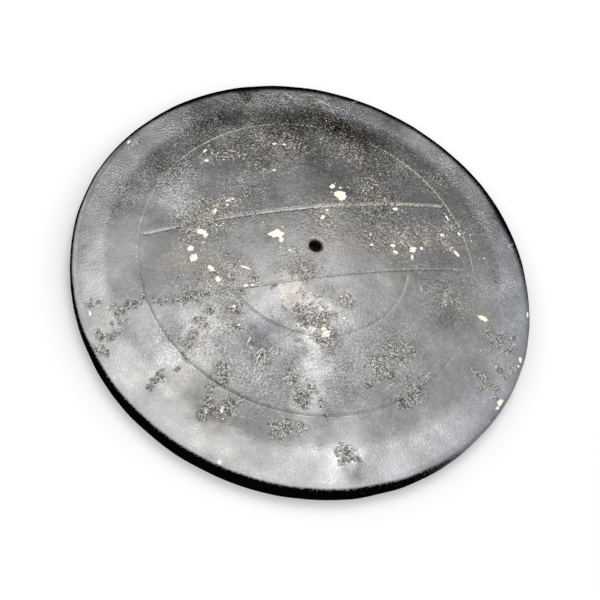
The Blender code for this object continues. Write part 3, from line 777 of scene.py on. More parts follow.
        # Crust colour by the flakes, with a band of painted shade along each flake's raised edge and
        # painted highlights beside it
        crust_stops_with_edge_light = (
            (0.36, self.crust_pale_and_highlight),
            (0.43, self.crust_mid),
            (0.48, self.crust_edge_shade),
            (0.52, self.crust_edge_shade),
            (0.57, self.crust_pale_and_highlight),
            (0.68, self.crust_mid),
        )
        crust_and_edge_light = add_node(tree, "ValToRGB", {"Fac": found["curl"]}, stops=crust_stops_with_edge_light)
        bare = self.shine
        for factor, other, dulling in (
            (masks["fleck"], linear(self.fleck), 0.7),
            (masks[Wear.CRUST], crust_and_edge_light, 0.5),
            (masks[Wear.DUST], linear(self.dust), 0.9),
            (masks[Wear.SIDE], linear(self.black), 1.0),
            # Rust, and dark dirt with painted shade in the line floors
            (found[Wear.RUST_AND_SHADE], linear(self.rust), 1.0),
        ):
            colour = add_node(tree, "Mix", {0: factor, 6: colour, 7: other}, 2, data_type="RGBA")
            left = add_node(tree, "Math", {0: factor, 1: -dulling, 2: 1.0}, operation="MULTIPLY_ADD")
            bare = add_node(tree, "Math", {0: bare, 1: left}, operation="MULTIPLY")
        inputs = {"Value": bare, "From Min": 0.0, "From Max": self.shine}
        inputs |= {"To Min": self.dirt_roughness, "To Max": self.roughness}
        rough = add_node(tree, "MapRange", inputs)
        rough = add_node(tree, "Math", {0: found["ragged"], 1: 0.1, 2: rough}, operation="MULTIPLY_ADD")
        normal = self.relief(tree, found, masks[Wear.CRUST])
        set_inputs(tree, shader, {"Base Color": colour, "Metallic": bare, "Roughness": rough})
        set_inputs(tree, shader, {"Normal": normal, "Specular IOR Level": 0.0})
        return material


@dataclass(frozen=True)
class OldCreamPaint:
    """Chips of an old cream oil paint: chalky, matt, dirty at the edges."""

    name: str = "old cream oil paint"
    pale: str = "#efe9d8"
    dirty: str = "#b9a988"
    stain_mm: float = 3.0
    roughness: float = 0.7

    def material(self) -> bpy.types.Material:
        """Builds the finish.

        Returns:
            The material.
        """
        material, tree, shader = new_material(self.name)
        place = add_node(tree, "TexCoord", output="Object")
        inputs = {"Vector": place, "Scale": per_metre(self.stain_mm), "Detail": 3.0}
        stain = add_node(tree, "TexNoise", inputs)
        middle = add_node(tree, "Attribute", output="Fac", attribute_name=Wear.TONE.value)
        clean = add_node(tree, "Math", {0: stain, 1: 0.6, 2: middle}, operation="MULTIPLY_ADD")
        colour = add_node(tree, "ValToRGB", {"Fac": clean}, stops=((0.45, self.dirty), (0.95, self.pale)))
        set_inputs(tree, shader, {"Base Color": colour, "Roughness": self.roughness})
        return material


@dataclass(frozen=True)
class BlisteredPaint:
    """Blistered bitumen paint: dirtier than the rest, every blister with its own tone."""

    name: str = "blistered bitumen paint"
    dark: str = "#4d4c4a"
    mid: str = "#8d8b87"
    pale: str = "#d8d5ce"
    metallic: float = 0.4
    roughness: float = 0.4

    def material(self) -> bpy.types.Material:
        """Builds the finish.

        Returns:
            The material.
        """
        material, tree, shader = new_material(self.name)
        tone = add_node(tree, "Attribute", output="Fac", attribute_name=Wear.TONE.value)
        stops = ((0.0, self.dark), (0.6, self.mid), (1.0, self.pale))
        colour = add_node(tree, "ValToRGB", {"Fac": tone}, stops=stops)
        shares = {"Metallic": self.metallic, "Roughness": self.roughness}
        set_inputs(tree, shader, {"Base Color": colour} | shares)
        return material


@dataclass(frozen=True)
class ScoredSteel:
    """Steel laid bare by scratches: brighter than the paint, dull at the edges."""

    name: str = "scored bare steel"
    bright: str = "#c9c8c6"
    dull: str = "#8e8d8c"
    metallic: float = 0.6
    roughness: float = 0.5

    def material(self) -> bpy.types.Material:
        """Builds the finish.

        Returns:
            The material.
        """
        material, tree, shader = new_material(self.name)
        middle = add_node(tree, "Attribute", output="Fac", attribute_name=Wear.TONE.value)
        inputs = {0: middle, 6: linear(self.dull), 7: linear(self.bright)}
        colour = add_node(tree, "Mix", inputs, 2, data_type="RGBA")
        shares = {"Metallic": self.metallic, "Roughness": self.roughness}
        set_inputs(tree, shader, {"Base Color": colour} | shares)
        return material


@dataclass(frozen=True)
class PrimedSteel:
    """Steel under dark primer, with rust in places: satin, uneven, brushed on."""

    name: str = "primed steel"
    primer: str = "#3d3f42"
    thin: str = "#56575a"
    rust: str = "#5b4433"
    cloud_mm: float = 45.0
    spot_mm: float = 14.0
    bump_mm: float = 0.3

    def material(self) -> bpy.types.Material:
        """Builds the finish.

        Returns:
            The material.
        """
        material, tree, shader = new_material(self.name)
        place = add_node(tree, "TexCoord", output="Object")
        inputs = {"Vector": place, "Scale": per_metre(self.cloud_mm), "Detail": 5.0}
        cloud = add_node(tree, "TexNoise", inputs)
        inputs = {"Vector": place, "Scale": per_metre(self.spot_mm), "Detail": 6.0, "Roughness": 0.7}
        spot = add_node(tree, "TexNoise", inputs)
        paint = add_node(tree, "ValToRGB", {"Fac": cloud}, stops=((0.4, self.primer), (0.65, self.thin)))
        rusty = add_node(tree, "MapRange", {"Value": spot, "From Min": 0.62, "From Max": 0.7})
        inputs = {0: rusty, 6: paint, 7: linear(self.rust)}
        colour = add_node(tree, "Mix", inputs, 2, data_type="RGBA")
        rough = add_node(tree, "MapRange", {"Value": spot, "To Min": 0.4, "To Max": 0.7})
        bump = add_node(tree, "Bump", {"Height": spot, "Strength": 0.3, "Distance": self.bump_mm * MM})
        set_inputs(tree, shader, {"Base Color": colour, "Roughness": rough, "Normal": bump})
        return material


@dataclass(frozen=True)
class GreasedSteel:
    """Bare machined steel under a film of grease: dull, streaked and a little brown."""

    name: str = "greased steel"
    bright: str = "#a8a49c"
    dull: str = "#7d776c"
    streak_mm: float = 5.0
    bump_mm: float = 0.1

    def material(self) -> bpy.types.Material:
        """Builds the finish.

        Returns:
            The material.
        """
        material, tree, shader = new_material(self.name)
        place = add_node(tree, "TexCoord", output="Object")
        inputs = {"Vector": place, "Scale": per_metre(self.streak_mm), "Detail": 5.0, "Roughness": 0.65}
        film = add_node(tree, "TexNoise", inputs)
        colour = add_node(tree, "ValToRGB", {"Fac": film}, stops=((0.35, self.dull), (0.62, self.bright)))
        rough = add_node(tree, "MapRange", {"Value": film, "To Min": 0.3, "To Max": 0.55})
        bump = add_node(tree, "Bump", {"Height": film, "Strength": 0.15, "Distance": self.bump_mm * MM})
        set_inputs(tree, shader, {"Base Color": colour, "Metallic": 1.0, "Roughness": rough})
        set_inputs(tree, shader, {"Normal": bump})
        return material


@dataclass(frozen=True)
class BearingBronze:
    """Turned bearing bronze: warm metal with fine turning rings and dull spots."""

    name: str = "turned bearing bronze"
    bright: str = "#c39a5c"
    dull: str = "#8f6c3d"
    spot_mm: float = 4.0
    # Length that about three turning rings take up
    ring_mm: float = 24.0
    bump_mm: float = 0.05
    roughness: float = 0.38

    def material(self) -> bpy.types.Material:
        """Builds the finish.

        Returns:
            The material.
        """
        material, tree, shader = new_material(self.name)
        place = add_node(tree, "TexCoord", output="Object")
        inputs = {"Vector": place, "Scale": per_metre(self.spot_mm), "Detail": 4.0}
        spots = add_node(tree, "TexNoise", inputs)
        inputs = {"Vector": place, "Scale": per_metre(self.ring_mm), "Distortion": 0.4}
        rings = add_node(tree, "TexWave", inputs, "Fac", wave_type="RINGS", rings_direction="Z")
        colour = add_node(tree, "ValToRGB", {"Fac": spots}, stops=((0.35, self.dull), (0.6, self.bright)))
        bump = add_node(tree, "Bump", {"Height": rings, "Strength": 0.2, "Distance": self.bump_mm * MM})
        shares = {"Metallic": 1.0, "Roughness": self.roughness}
        set_inputs(tree, shader, {"Base Color": colour, "Normal": bump} | shares)
        return material


@dataclass(frozen=True)
class MouldedRubber:
    """Moulded black rubber: matt, faintly grainy, greyed where dust sticks."""

    name: str = "moulded black rubber"
    black: str = "#242426"
    greyed: str = "#3a3a3a"
    bloom_mm: float = 12.0
    grain_mm: float = 0.8
    bump_mm: float = 0.1
    roughness: float = 0.75

    def material(self) -> bpy.types.Material:
        """Builds the finish.

        Returns:
            The material.
        """
        material, tree, shader = new_material(self.name)
        place = add_node(tree, "TexCoord", output="Object")
        bloom, grain = (
            add_node(tree, "TexNoise", {"Vector": place, "Scale": per_metre(size), "Detail": detail})
            for size, detail in ((self.bloom_mm, 4.0), (self.grain_mm, 1.0))
        )
        colour = add_node(tree, "ValToRGB", {"Fac": bloom}, stops=((0.4, self.black), (0.7, self.greyed)))
        bump = add_node(tree, "Bump", {"Height": grain, "Strength": 0.3, "Distance": self.bump_mm * MM})
        set_inputs(tree, shader, {"Base Color": colour, "Normal": bump, "Roughness": self.roughness})
        return material


@dataclass(frozen=True)
class EdgeBlack:
    """Near-black colour round the shoulder and the rim, less of it at the near right."""

    # Degrees round from X, radius where the black starts and where it covers, and share covered
    rows: tuple[tuple[float, float, float, float], ...] = (
        (-172.0, 0.2975, 0.3015, 0.95), (-160.0, 0.2960, 0.3008, 1.0), (-130.0, 0.2950, 0.3005, 1.0),
        (-90.0, 0.2930, 0.3003, 0.97), (-80.0, 0.2935, 0.3000, 0.75), (-70.0, 0.2935, 0.3000, 0.42),
        (-60.0, 0.2930, 0.3000, 0.22), (-40.0, 0.2910, 0.3000, 0.18), (-20.0, 0.2860, 0.3000, 0.36),
        (5.0, 0.2780, 0.2995, 0.95), (30.0, 0.2815, 0.2990, 1.0), (60.0, 0.2810, 0.2975, 1.0),
        (85.0, 0.2800, 0.2965, 1.0), (110.0, 0.2830, 0.2975, 1.0), (140.0, 0.2930, 0.2998, 1.0),
        (172.0, 0.2950, 0.3007, 1.0),
    )

    def at(self, places: np.ndarray) -> np.ndarray:
        """How far the black covers points of the cover.

        Args:
            places: Rows of x and y in metres.

        Returns:
            One share for each point.
        """
        turn = np.degrees(np.arctan2(places[:, 1], places[:, 0]))
        at, *columns = np.array(self.rows).T
        start, full, share = (np.interp(turn, at, column, period=360.0) for column in columns)
        return eased((np.hypot(places[:, 0], places[:, 1]) - start) / (full - start)) * share


@dataclass(frozen=True)
class CoverPiece:
    """A visible piece that follows the shape and the waves of the cover."""

    shape: CoverShape = CoverShape()
    uneven: Unevenness = Unevenness()

    def build(self) -> bpy.types.Object:
        """Makes the piece without its finish."""
        raise NotImplementedError

    def dressed(self, *finishes: bpy.types.Material) -> bpy.types.Object:
        """Makes the piece with its finish.

        Args:
            finishes: The materials, in the order of the numbers that the faces have for them.

        Returns:
            The finished piece.
        """
        piece = self.build()
        for finish in finishes:
            piece.data.materials.append(finish)
        LOG.info("built %s with %d faces", piece.name, len(piece.data.polygons))
        return piece


@dataclass(frozen=True)
class DomedPlate(CoverPiece):
    """The pressed plate with its sunk lines, key hole and rounded shoulder."""

    edge: EdgeBlack = EdgeBlack()
    steps: int = 420
    dome_stations: int = 100
    foot_steps: int = 8
    flange_steps: int = 12
    edge_steps: int = 12
    under_foot_steps: int = 5
    under_steps: int = 12
    # The key hole's dished edge: shares of the lip's width and height
    lip_shares: tuple[Point, ...] = (
        (0.0, 0.0), (0.3, 0.25), (0.6, 0.55), (0.8, 0.85), (0.9, 0.96), (1.0, 1.0)
    )
    # Dirt round the key hole: radii and amounts
    lip_dirt: Table = ((0.0075, 0.0080, 0.0088, 0.0097), (1.0, 0.75, 0.45, 0.0))
    # Dust and a painted highlight on the far part of the lip: radii, where it starts across, and amount
    lip_band: Point = (0.0093, 0.0112)
    lip_band_start: float = -0.004
    lip_dust_and_highlight: float = 0.75
    # The far and the near line: depth and half widths
    line_depths: Point = (0.0016, 0.0003)
    line_halves: tuple[tuple[float, ...], ...] = (
        (0.0030, 0.0026, 0.0019, 0.0011),
        (0.0021, 0.0018, 0.0012, 0.0006),
    )
    line_shares: tuple[float, ...] = (0.0, 0.12, 0.72, 1.0)
    line_end: float = 0.0030
    line_clear: float = 0.0005
    score_band: float = 0.012
    arc_half: tuple[float, ...] = (0.0015, 0.0009, 0.0004)
    arc_shares: tuple[float, ...] = (0.0, 0.6, 1.0)
    arc_depth: float = 0.0004
    arc_gap: float = 0.0056
    ring_half: tuple[float, ...] = (0.0018, 0.0015, 0.0010, 0.0005)
    ring_depth: float = 0.0011
    # How much of the ring line paint has left open: degrees round from X and shares
    ring_open: Table = ((-64.0, -50.0, -15.0, 0.0), (1.0, 0.35, 0.25, 1.0))
    # Depth at which dust fills a line
    dust_depth: float = 0.0007
    # Dust along the far and the near line: places along X and amounts
    line_dust: tuple[Table, Table] = (
        ((-0.170, -0.155, -0.060, 0.020, 0.050), (0.2, 0.25, 0.30, 0.45, 0.72)),
        ((-0.020, 0.060, 0.200), (0.0, 0.9, 1.2)),
    )
    # Dust along the ring line: degrees round from X and amounts
    ring_dust: Table = ((-8.0, 2.0, 35.0, 60.0, 140.0, 165.0), (0.0, 0.55, 0.75, 0.5, 0.45, 0.2))
    # Paint worn thin in the far line, partly a painted highlight on the line's sides: places along X and
    # amounts, and half the width
    line_bare_and_highlight: Table = (
        (-0.199, -0.195, -0.170, -0.150, -0.115, -0.105, 0.020, 0.050, 0.200),
        (0.0, 0.7, 0.6, 0.2, 0.2, 0.4, 0.3, 0.1, 0.0),
    )
    line_bare_and_highlight_half: float = 0.0024
    # Dark dirt and painted shade in the floors of the lines of the near half: radians round from X and
    # amounts
    line_grime_and_shade: Table = ((-3.14, -2.9, -1.9, -1.5, -1.2), (0.1, 0.35, 0.3, 0.1, 0.0))
    grime_and_shade_depth: float = 0.0009
    # Painted highlight that lightens the shoulder: degrees round from X and amounts
    shoulder_painted_highlight: Table = ((140.0, 170.0, 215.0, 260.0, 290.0), (0.0, 0.5, 0.8, 0.8, 0.0))
    shoulder_start: float = 0.289
    shoulder_blend: float = 0.004
    # Blue-grey cast on the flange, a painted reflection of the cool sky: degrees round from X and amounts
    flange_painted_sky_cast: Table = ((-110.0, -85.0, -20.0, 50.0, 110.0), (0.0, 0.4, 0.8, 0.5, 0.0))
    cool_start: float = 0.235
    cool_blend: float = 0.04
    # How much a tinted place is lightened, so that only its cast changes
    tint_lift: float = 0.08

    @property
    def sides(self) -> Point:
        """Places across of the far and the near straight line."""
        return (self.shape.far_line, self.shape.near_line)

    @property
    def lip_radius(self) -> float:
        """Radius where the key hole's dished edge meets the dome."""
        return self.shape.hole_radius + self.shape.hole_lip

    def stations(self) -> list[float]:
        """Radii of the rings of vertices from the key hole's lip to the foot of the dome.

        Returns:
            The radii, going outwards.
        """
        start, count = self.lip_radius, self.dome_stations
        end = self.shape.foot(0.0, 1)[0][0]
        radii = [start + (end - start) * step / count for step in range(1, count)]
        centres = (self.shape.arc_line, self.shape.ring_line)
        for centre, halves in zip(centres, (self.arc_half, self.ring_half)):
            radii = [radius for radius in radii if abs(radius - centre) > halves[0] + self.line_clear]
            radii += [centre - half for half in halves] + [centre + half for half in halves]
        return sorted(radii)

    def profile(self) -> list[Point]:
        """The plate's whole outline, without the sunk lines.

        Returns:
            (radius, height) points, out over the upper side and back below.
        """
        shape = self.shape
        lip_height = shape.dome(self.lip_radius)
        outline = []
        for out, up in self.lip_shares:
            drop = (1 - up) * shape.hole_lip
            outline.append((shape.hole_radius + out * shape.hole_lip, lip_height - drop))
        outline += [(radius, shape.dome(radius)) for radius in self.stations()]
        outline += shape.foot(0.0, self.foot_steps)
        edge_centre = shape.radius - shape.edge_radius
        flange_width = edge_centre - shape.foot_centre
        for step in range(1, self.flange_steps):
            radius = shape.foot_centre + flange_width * step / self.flange_steps
            outline.append((radius, shape.flange_height))
        for step in range(self.edge_steps + 1):
            turn = math.pi / 2 * (1 - step / self.edge_steps)
            drop = shape.edge_radius * (1 - math.sin(turn))
            outline.append((edge_centre + shape.edge_radius * math.cos(turn), shape.flange_height - drop))
        inner = shape.radius - shape.thickness
        outline += [
            (shape.radius, shape.shoulder_bottom),
            (inner, shape.shoulder_bottom),
            (inner, shape.flange_height - shape.edge_radius),
            (edge_centre, shape.flange_height - shape.thickness),
        ]
        foot = shape.foot(shape.thickness, self.under_foot_steps)
        outline += reversed(foot)
        for step in range(1, self.under_steps + 1):
            radius = foot[0][0] + (shape.hole_radius - foot[0][0]) * step / self.under_steps
            outline.append((radius, shape.dome(radius, shape.thickness)))
        return outline

    def line_reach(self, side: float) -> float:
        """Half the length of a straight line at its distance from the middle."""
        return math.sqrt(self.shape.ring_line**2 - side**2) - self.shape.line_end_gap

    def sunk(self, x: np.ndarray, y: np.ndarray) -> np.ndarray:
        """Depth of the sunk lines at places in plan.

        Args:
            x: Places along the straight lines.
            y: Places across them.

        Returns:
            One depth for each place.
        """
        radius = np.hypot(x, y)
        away = np.abs(radius - self.shape.ring_line)
        depth = np.interp(away, self.ring_half[::-1], self.line_shares[::-1]) * self.ring_depth
        depth *= np.interp(np.degrees(np.arctan2(y, x)), *self.ring_open)
        for side, halves, sink in zip(self.sides, self.line_halves, self.line_depths):
            share = np.interp(np.abs(y - side), halves[::-1], self.line_shares[::-1])
            end = np.clip((self.line_reach(side) - np.abs(x)) / self.line_end, 0.0, 1.0)
            depth = np.maximum(depth, share * end * sink)
        away = np.abs(radius - self.shape.arc_line)
        share = np.interp(away, self.arc_half[::-1], self.arc_shares[::-1])
        end = np.clip((self.shape.near_line - self.arc_gap - y) / self.line_end, 0.0, 1.0)
        return np.maximum(depth, share * end * self.arc_depth)

    def score(self, plate: bmesh.types.BMesh) -> None:
        """Cuts edges along the straight lines, so that they can be pressed in crisply.

        Args:
            plate: The spun plate.
        """
        for side, halves in zip(self.sides, self.line_halves):
            reach = self.line_reach(side) + self.line_end
            band = []
            for face in plate.faces:
                middle = face.calc_center_median()
                near = abs(middle.y - side) < self.score_band and abs(middle.x) < reach
                if near and face.normal.z > FACING_UP:
                    band.append(face)
            edges = {edge for face in band for edge in face.edges}
            verts = {vert for face in band for vert in face.verts}
            cut = band + list(edges) + list(verts)
            for half in halves:
                for sign in (-1, 1):
                    cut = bmesh.ops.bisect_plane(
                        plate,
                        geom=cut,
                        dist=CUT_DISTANCE,
                        plane_co=(0, side + sign * half, 0),
                        plane_no=(0, 1, 0),
                    )["geom"]

    def on_top(self, places: np.ndarray) -> np.ndarray:
        """Tells which vertices belong to the upper side.

        Args:
            places: True places of the vertices.

        Returns:
            One truth for each vertex.
        """
        radius = np.hypot(places[:, 0], places[:, 1])
        return places[:, 2] > self.shape.top(radius) - 0.5 * self.shape.thickness

    def build(self) -> bpy.types.Object:
        """Builds the plate, presses in its lines and lays its wear.

        Returns:
            The plate's piece.
        """
        plate = spun(self.profile(), self.steps)
        self.score(plate)
        plate.normal_update()
        plate.verts.index_update()
        places = np.array([vert.co for vert in plate.verts])
        radius = np.hypot(places[:, 0], places[:, 1])
        upper, past_lip = self.on_top(places), radius > self.lip_radius
        depth = np.where(upper & past_lip, self.sunk(places[:, 0], places[:, 1]), 0.0)
        under = ~upper & past_lip & (radius < self.shape.radius - MERGE_DISTANCE)
        for face in plate.faces:
            face.material_index = int(all(under[vert.index] for vert in face.verts))
        for vert, drop in zip(plate.verts, depth):
            vert.co.z -= drop
            vert.co += self.uneven.at(vert.co)
        piece = finished_piece("plate_surface", plate)
        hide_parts("domed_plate")
        self.wear(piece.data, places, depth)
        return piece

    def dust_in_lines(self, places: np.ndarray, depth: np.ndarray) -> np.ndarray:
        """How much tan dust lies in the sunk lines.

        Args:
            places: True places of the vertices.
            depth: How deep each vertex lies in a sunk line.

        Returns:
            One value for each vertex.
        """
        x, y = places[:, 0], places[:, 1]
        amount = np.zeros(len(places))
        for side, halves, dust in zip(self.sides, self.line_halves, self.line_dust):
            amount = np.where(np.abs(y - side) < halves[0], np.interp(x, *dust), amount)
        in_ring = np.abs(np.hypot(x, y) - self.shape.ring_line) < self.ring_half[0]
        turn = np.degrees(np.arctan2(y, x))
        amount = np.where(in_ring, np.interp(turn, *self.ring_dust), amount)
        return amount * np.clip(depth / self.dust_depth, 0.0, 1.0)

    def wear(self, mesh: bpy.types.Mesh, places: np.ndarray, depth: np.ndarray) -> None:
        """Lays crust, dust, pits, tone with painted sheen and shade, a cast partly painted as sky
        reflection, the black edge, and rust with dark dirt and painted shade on the plate's vertices.

        Args:
            mesh: The plate's mesh.
            places: True places of the vertices.
            depth: How deep each vertex lies in a sunk line.
        """
        x, y = places[:, 0], places[:, 1]
        radius, turn = np.hypot(x, y), np.degrees(np.arctan2(y, x))
        upper, ground = self.on_top(places), strayed(places)
        low, high = self.lip_band
        lip = (radius > low) & (radius < high) & (y > self.lip_band_start)
        dust = np.maximum(field_of(DUST_PATCHES, ground), self.dust_in_lines(places, depth))
        crust = np.maximum(field_of(CRUST_PATCHES, ground), field_of(WRINKLED_PATCHES, ground))
        # Worn steel and a painted highlight along the far line, added to the shade
        bare = np.interp(x, *self.line_bare_and_highlight) * (np.abs(y - self.shape.far_line) < self.line_bare_and_highlight_half)
        # Painted highlight on the shoulder, added to the shade
        shoulder = eased((radius - self.shoulder_start) / self.shoulder_blend)
        shoulder = np.interp(turn % 360, *self.shoulder_painted_highlight) * shoulder
        # Cast: a painted reflection of the cool sky on the flange, with the listed tinted places
        tint = np.interp(turn, *self.flange_painted_sky_cast) * eased((radius - self.cool_start) / self.cool_blend)
        tint = tint + field_of(TINT_PATCHES, ground, np.add)
        shade = field_of(SHADE_PATCHES, ground, np.add) + shoulder + bare + self.tint_lift * np.abs(tint)
        # Dark dirt and painted shade in the deepest part of the near-half lines
        grime_and_shade = np.interp(np.arctan2(y, x), *self.line_grime_and_shade) * (depth > self.grime_and_shade_depth)
        for wear, values in (
            (Wear.CRUST, crust * upper),
            # Dust and a painted highlight on the far part of the key hole's lip
            (Wear.DUST, np.maximum(dust, self.lip_dust_and_highlight * lip) * upper),
            (Wear.PITTED, field_of(PITTED_PATCHES, ground) * upper),
            (Wear.TINT, tint * upper),
            (Wear.SHADE, shade * upper),
            (Wear.SIDE, np.where(upper, self.edge.at(places), 1.0)),
            (Wear.RUST_AND_SHADE, np.maximum(np.interp(radius, *self.lip_dirt), grime_and_shade)),
        ):
            set_attribute(mesh, wear, values)


@dataclass(frozen=True)
class RimSkirt(CoverPiece):
    """The rolled rim under the shoulder, which stands on the ground."""

    edge: EdgeBlack = EdgeBlack()
    steps: int = 420
    steps_up: int = 6
    chamfer: float = 0.0010

    def build(self) -> bpy.types.Object:
        """Builds the rim with the same waves as the plate.

        Returns:
            The rim's piece.
        """
        outer, top = self.shape.radius, self.shape.shoulder_bottom
        inner = outer - self.shape.thickness
        outline = [(outer, top * step / self.steps_up) for step in range(self.steps_up, 1, -1)]
        outline += [
            (outer, self.chamfer),
            (outer - self.chamfer, 0.0),
            (inner + self.chamfer, 0.0),
            (inner, self.chamfer),
            (inner, top),
        ]
        rim = spun(outline, self.steps)
        rim.verts.index_update()
        places = np.array([vert.co for vert in rim.verts])
        outside = np.hypot(places[:, 0], places[:, 1]) > outer - MERGE_DISTANCE
        for face in rim.faces:
            face.material_index = int(not any(outside[vert.index] for vert in face.verts))
        for vert in rim.verts:
            vert.co += self.uneven.at(vert.co)
        piece = finished_piece("rim_surface", rim)
        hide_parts("rim_skirt")
        for wear in PLATE_WEAR:
            edge_black = np.where(outside, self.edge.at(places), 1.0)
            set_attribute(piece.data, wear, edge_black if wear is Wear.SIDE else np.zeros(len(places)))
        return piece


@dataclass(frozen=True)
class PaintChips(CoverPiece):
    """Thin cream flakes that lie on the plate, with lengths in millimetres."""

    name: str = "paint_chips"
    corners: int = 26
    small_corners: int = 8
    small_width: float = 2.2
    crown_inset: float = 0.12
    lift: float = 0.0004
    # How ragged a flake's edge is, how close its wide and its fine waves are, and how far apart the
    # flakes read them in the noise
    ragged: float = 0.5
    wide_waves: float = 1.5
    fine_waves: float = 4.0
    wide_apart: float = 3.7
    fine_apart: float = 2.3
    # Crumbs round every flake: distance in lengths of the flake, gap, size, and width in lengths
    seed: int = 5
    crumbs: int = 4
    crumb_away: Point = (0.7, 2.6)
    crumb_gap: float = 2.0
    crumb_size: Point = (0.9, 2.2)
    crumb_width: Point = (0.5, 1.0)
    crumb_limit: float = 286.0

    def laid(self) -> list[Chip]:
        """The listed chips, and a few crumbs strewn round every one.

        Returns:
            All the chips.
        """
        draw = random.Random(self.seed)
        found = []
        for chip in CHIPS:
            for _ in range(self.crumbs):
                angle = draw.uniform(0, 360)
                away = chip.length * draw.uniform(*self.crumb_away) + self.crumb_gap
                x, y, _ = direction(angle, 0.0) * away
                size = draw.uniform(*self.crumb_size)
                width = size * draw.uniform(*self.crumb_width)
                found.append(Chip(chip.x + x, chip.y + y, size, width, draw.uniform(0, 180)))
        return CHIPS + [crumb for crumb in found if math.hypot(crumb.x, crumb.y) < self.crumb_limit]

    def placed(self, chip: Chip, number: int, corner: Vector) -> Vector:
        """Moves a corner of a round disc to its place in a ragged flake on the plate.

        Args:
            chip: The flake.
            number: The flake's number, which gives it its own edge.
            corner: The corner of the disc.

        Returns:
            The place on the plate's upper side.
        """
        out = Vector((corner.x, corner.y, 0.0))
        way = out.normalized()
        wide = way * self.wide_waves + Vector((number * self.wide_apart, 0.0, 0.0))
        fine = way * self.fine_waves + Vector((0.0, number * self.fine_apart, 0.0))
        bulge = 1 + self.ragged * noise.noise(wide)
        bulge += 0.5 * self.ragged * noise.noise(fine)
        turn = Matrix.Rotation(math.radians(chip.turn), 3, "Z")
        flat = turn @ Vector((out.x * chip.length * bulge, out.y * chip.width * bulge, 0.0))
        place = Vector((chip.x * MM + flat.x, chip.y * MM + flat.y, 0.0))
        place.z = float(self.shape.top(math.hypot(place.x, place.y)))
        return place + self.uneven.at(place)

    def build(self) -> bpy.types.Object:
        """Builds every chip from a rounded disc with a ragged edge.

        Returns:
            The piece with all the chips.
        """
        chips = bmesh.new()
        crowns = []
        for number, chip in enumerate(self.laid()):
            corners = self.corners if chip.width > self.small_width else self.small_corners
            made = bmesh.ops.create_circle(chips, cap_ends=True, segments=corners, radius=0.5 * MM)
            rim = made["verts"]
            face = next(iter(rim[0].link_faces))
            inset = bmesh.ops.inset_region(chips, faces=[face], thickness=self.crown_inset * MM)
            inner = set(face.verts)
            crowns += inner
            for vert in set(rim) | inner | {vert for side in inset["faces"] for vert in side.verts}:
                vert.co = self.placed(chip, number, vert.co)
                vert.co.z += self.lift if vert in inner else -0.5 * self.lift
        bmesh.ops.recalc_face_normals(chips, faces=chips.faces)
        for face in chips.faces:
            if face.normal.z < 0:
                face.normal_flip()
        chips.verts.index_update()
        tones = np.zeros(len(chips.verts))
        tones[[vert.index for vert in crowns]] = 1.0
        piece = finished_piece(self.name, chips)
        set_attribute(piece.data, Wear.TONE, tones)
        return piece


@dataclass(frozen=True)
class BrightScratches(PaintChips):
    """Thin bright slivers where the paint is scored through."""

    name: str = "bright_scratches"
    lift: float = 0.00015
    ragged: float = 0.7

    def laid(self) -> list[Chip]:
        """The listed scratches."""
        return SCRATCHES


@dataclass(frozen=True)
class PaintBlisters(CoverPiece):
    """Blisters and flakes that stand up from the crust, with lengths in millimetres."""

    seed: int = 11
    per_square_mm: float = 0.08
    smallest: float = 0.7
    largest: float = 3.2
    # Above 1, small blisters are commoner than large ones
    small_bias: float = 2.2
    width_shares: Point = (0.22, 0.55)
    corners: int = 7
    crown: float = 0.4
    height: float = 0.25
    spread: float = 1.6
    # Least crust that carries a blister, drawn for each between these values
    least_crust: Point = (0.2, 1.0)

    def spots(self, draw: random.Random) -> np.ndarray:
        """Strews places over the crust patches, thinning out at their ragged edges.

        Args:
            draw: The seeded source of chance.

        Returns:
            Rows of x, y and height.
        """
        places = []
        for patch in CRUST_PATCHES:
            reach = self.spread * patch.radius
            for _ in range(int(self.per_square_mm * math.pi * reach**2)):
                angle, away = draw.uniform(0, 2 * math.pi), reach * math.sqrt(draw.random())
                places.append((patch.x + away * math.cos(angle), patch.y + away * math.sin(angle)))
        places = np.array(places) * MM
        radius = np.hypot(places[:, 0], places[:, 1])
        crust = field_of(CRUST_PATCHES, strayed(places))
        kept = crust > [draw.uniform(*self.least_crust) for _ in places]
        kept &= radius < self.shape.radius - self.shape.edge_radius
        return np.column_stack((places, self.shape.top(radius)))[kept]

    def build(self) -> bpy.types.Object:
        """Builds a low blunt cone for every blister.

        Returns:
            The piece with all the blisters.
        """
        draw = random.Random(self.seed)
        blisters = bmesh.new()
        tones = []
        for place in self.spots(draw):
            share = draw.random() ** self.small_bias
            size = (self.smallest + (self.largest - self.smallest) * share) * MM
            turn = Matrix.Rotation(draw.uniform(0, math.pi), 4, "Z")
            width = size * draw.uniform(*self.width_shares)
            grow = Matrix.Diagonal((size, width, size * self.height, 1.0))
            middle = Vector(place)
            bmesh.ops.create_cone(
                blisters,
                cap_ends=True,
                segments=self.corners,
                radius1=1.0,
                radius2=self.crown,
                depth=2.0,
                matrix=Matrix.Translation(middle + self.uneven.at(middle)) @ turn @ grow,
            )
            tones.append(draw.random())
        piece = finished_piece("paint_blisters", blisters, sharp=math.pi)
        set_attribute(piece.data, Wear.TONE, np.repeat(tones, 2 * self.corners))
        return piece


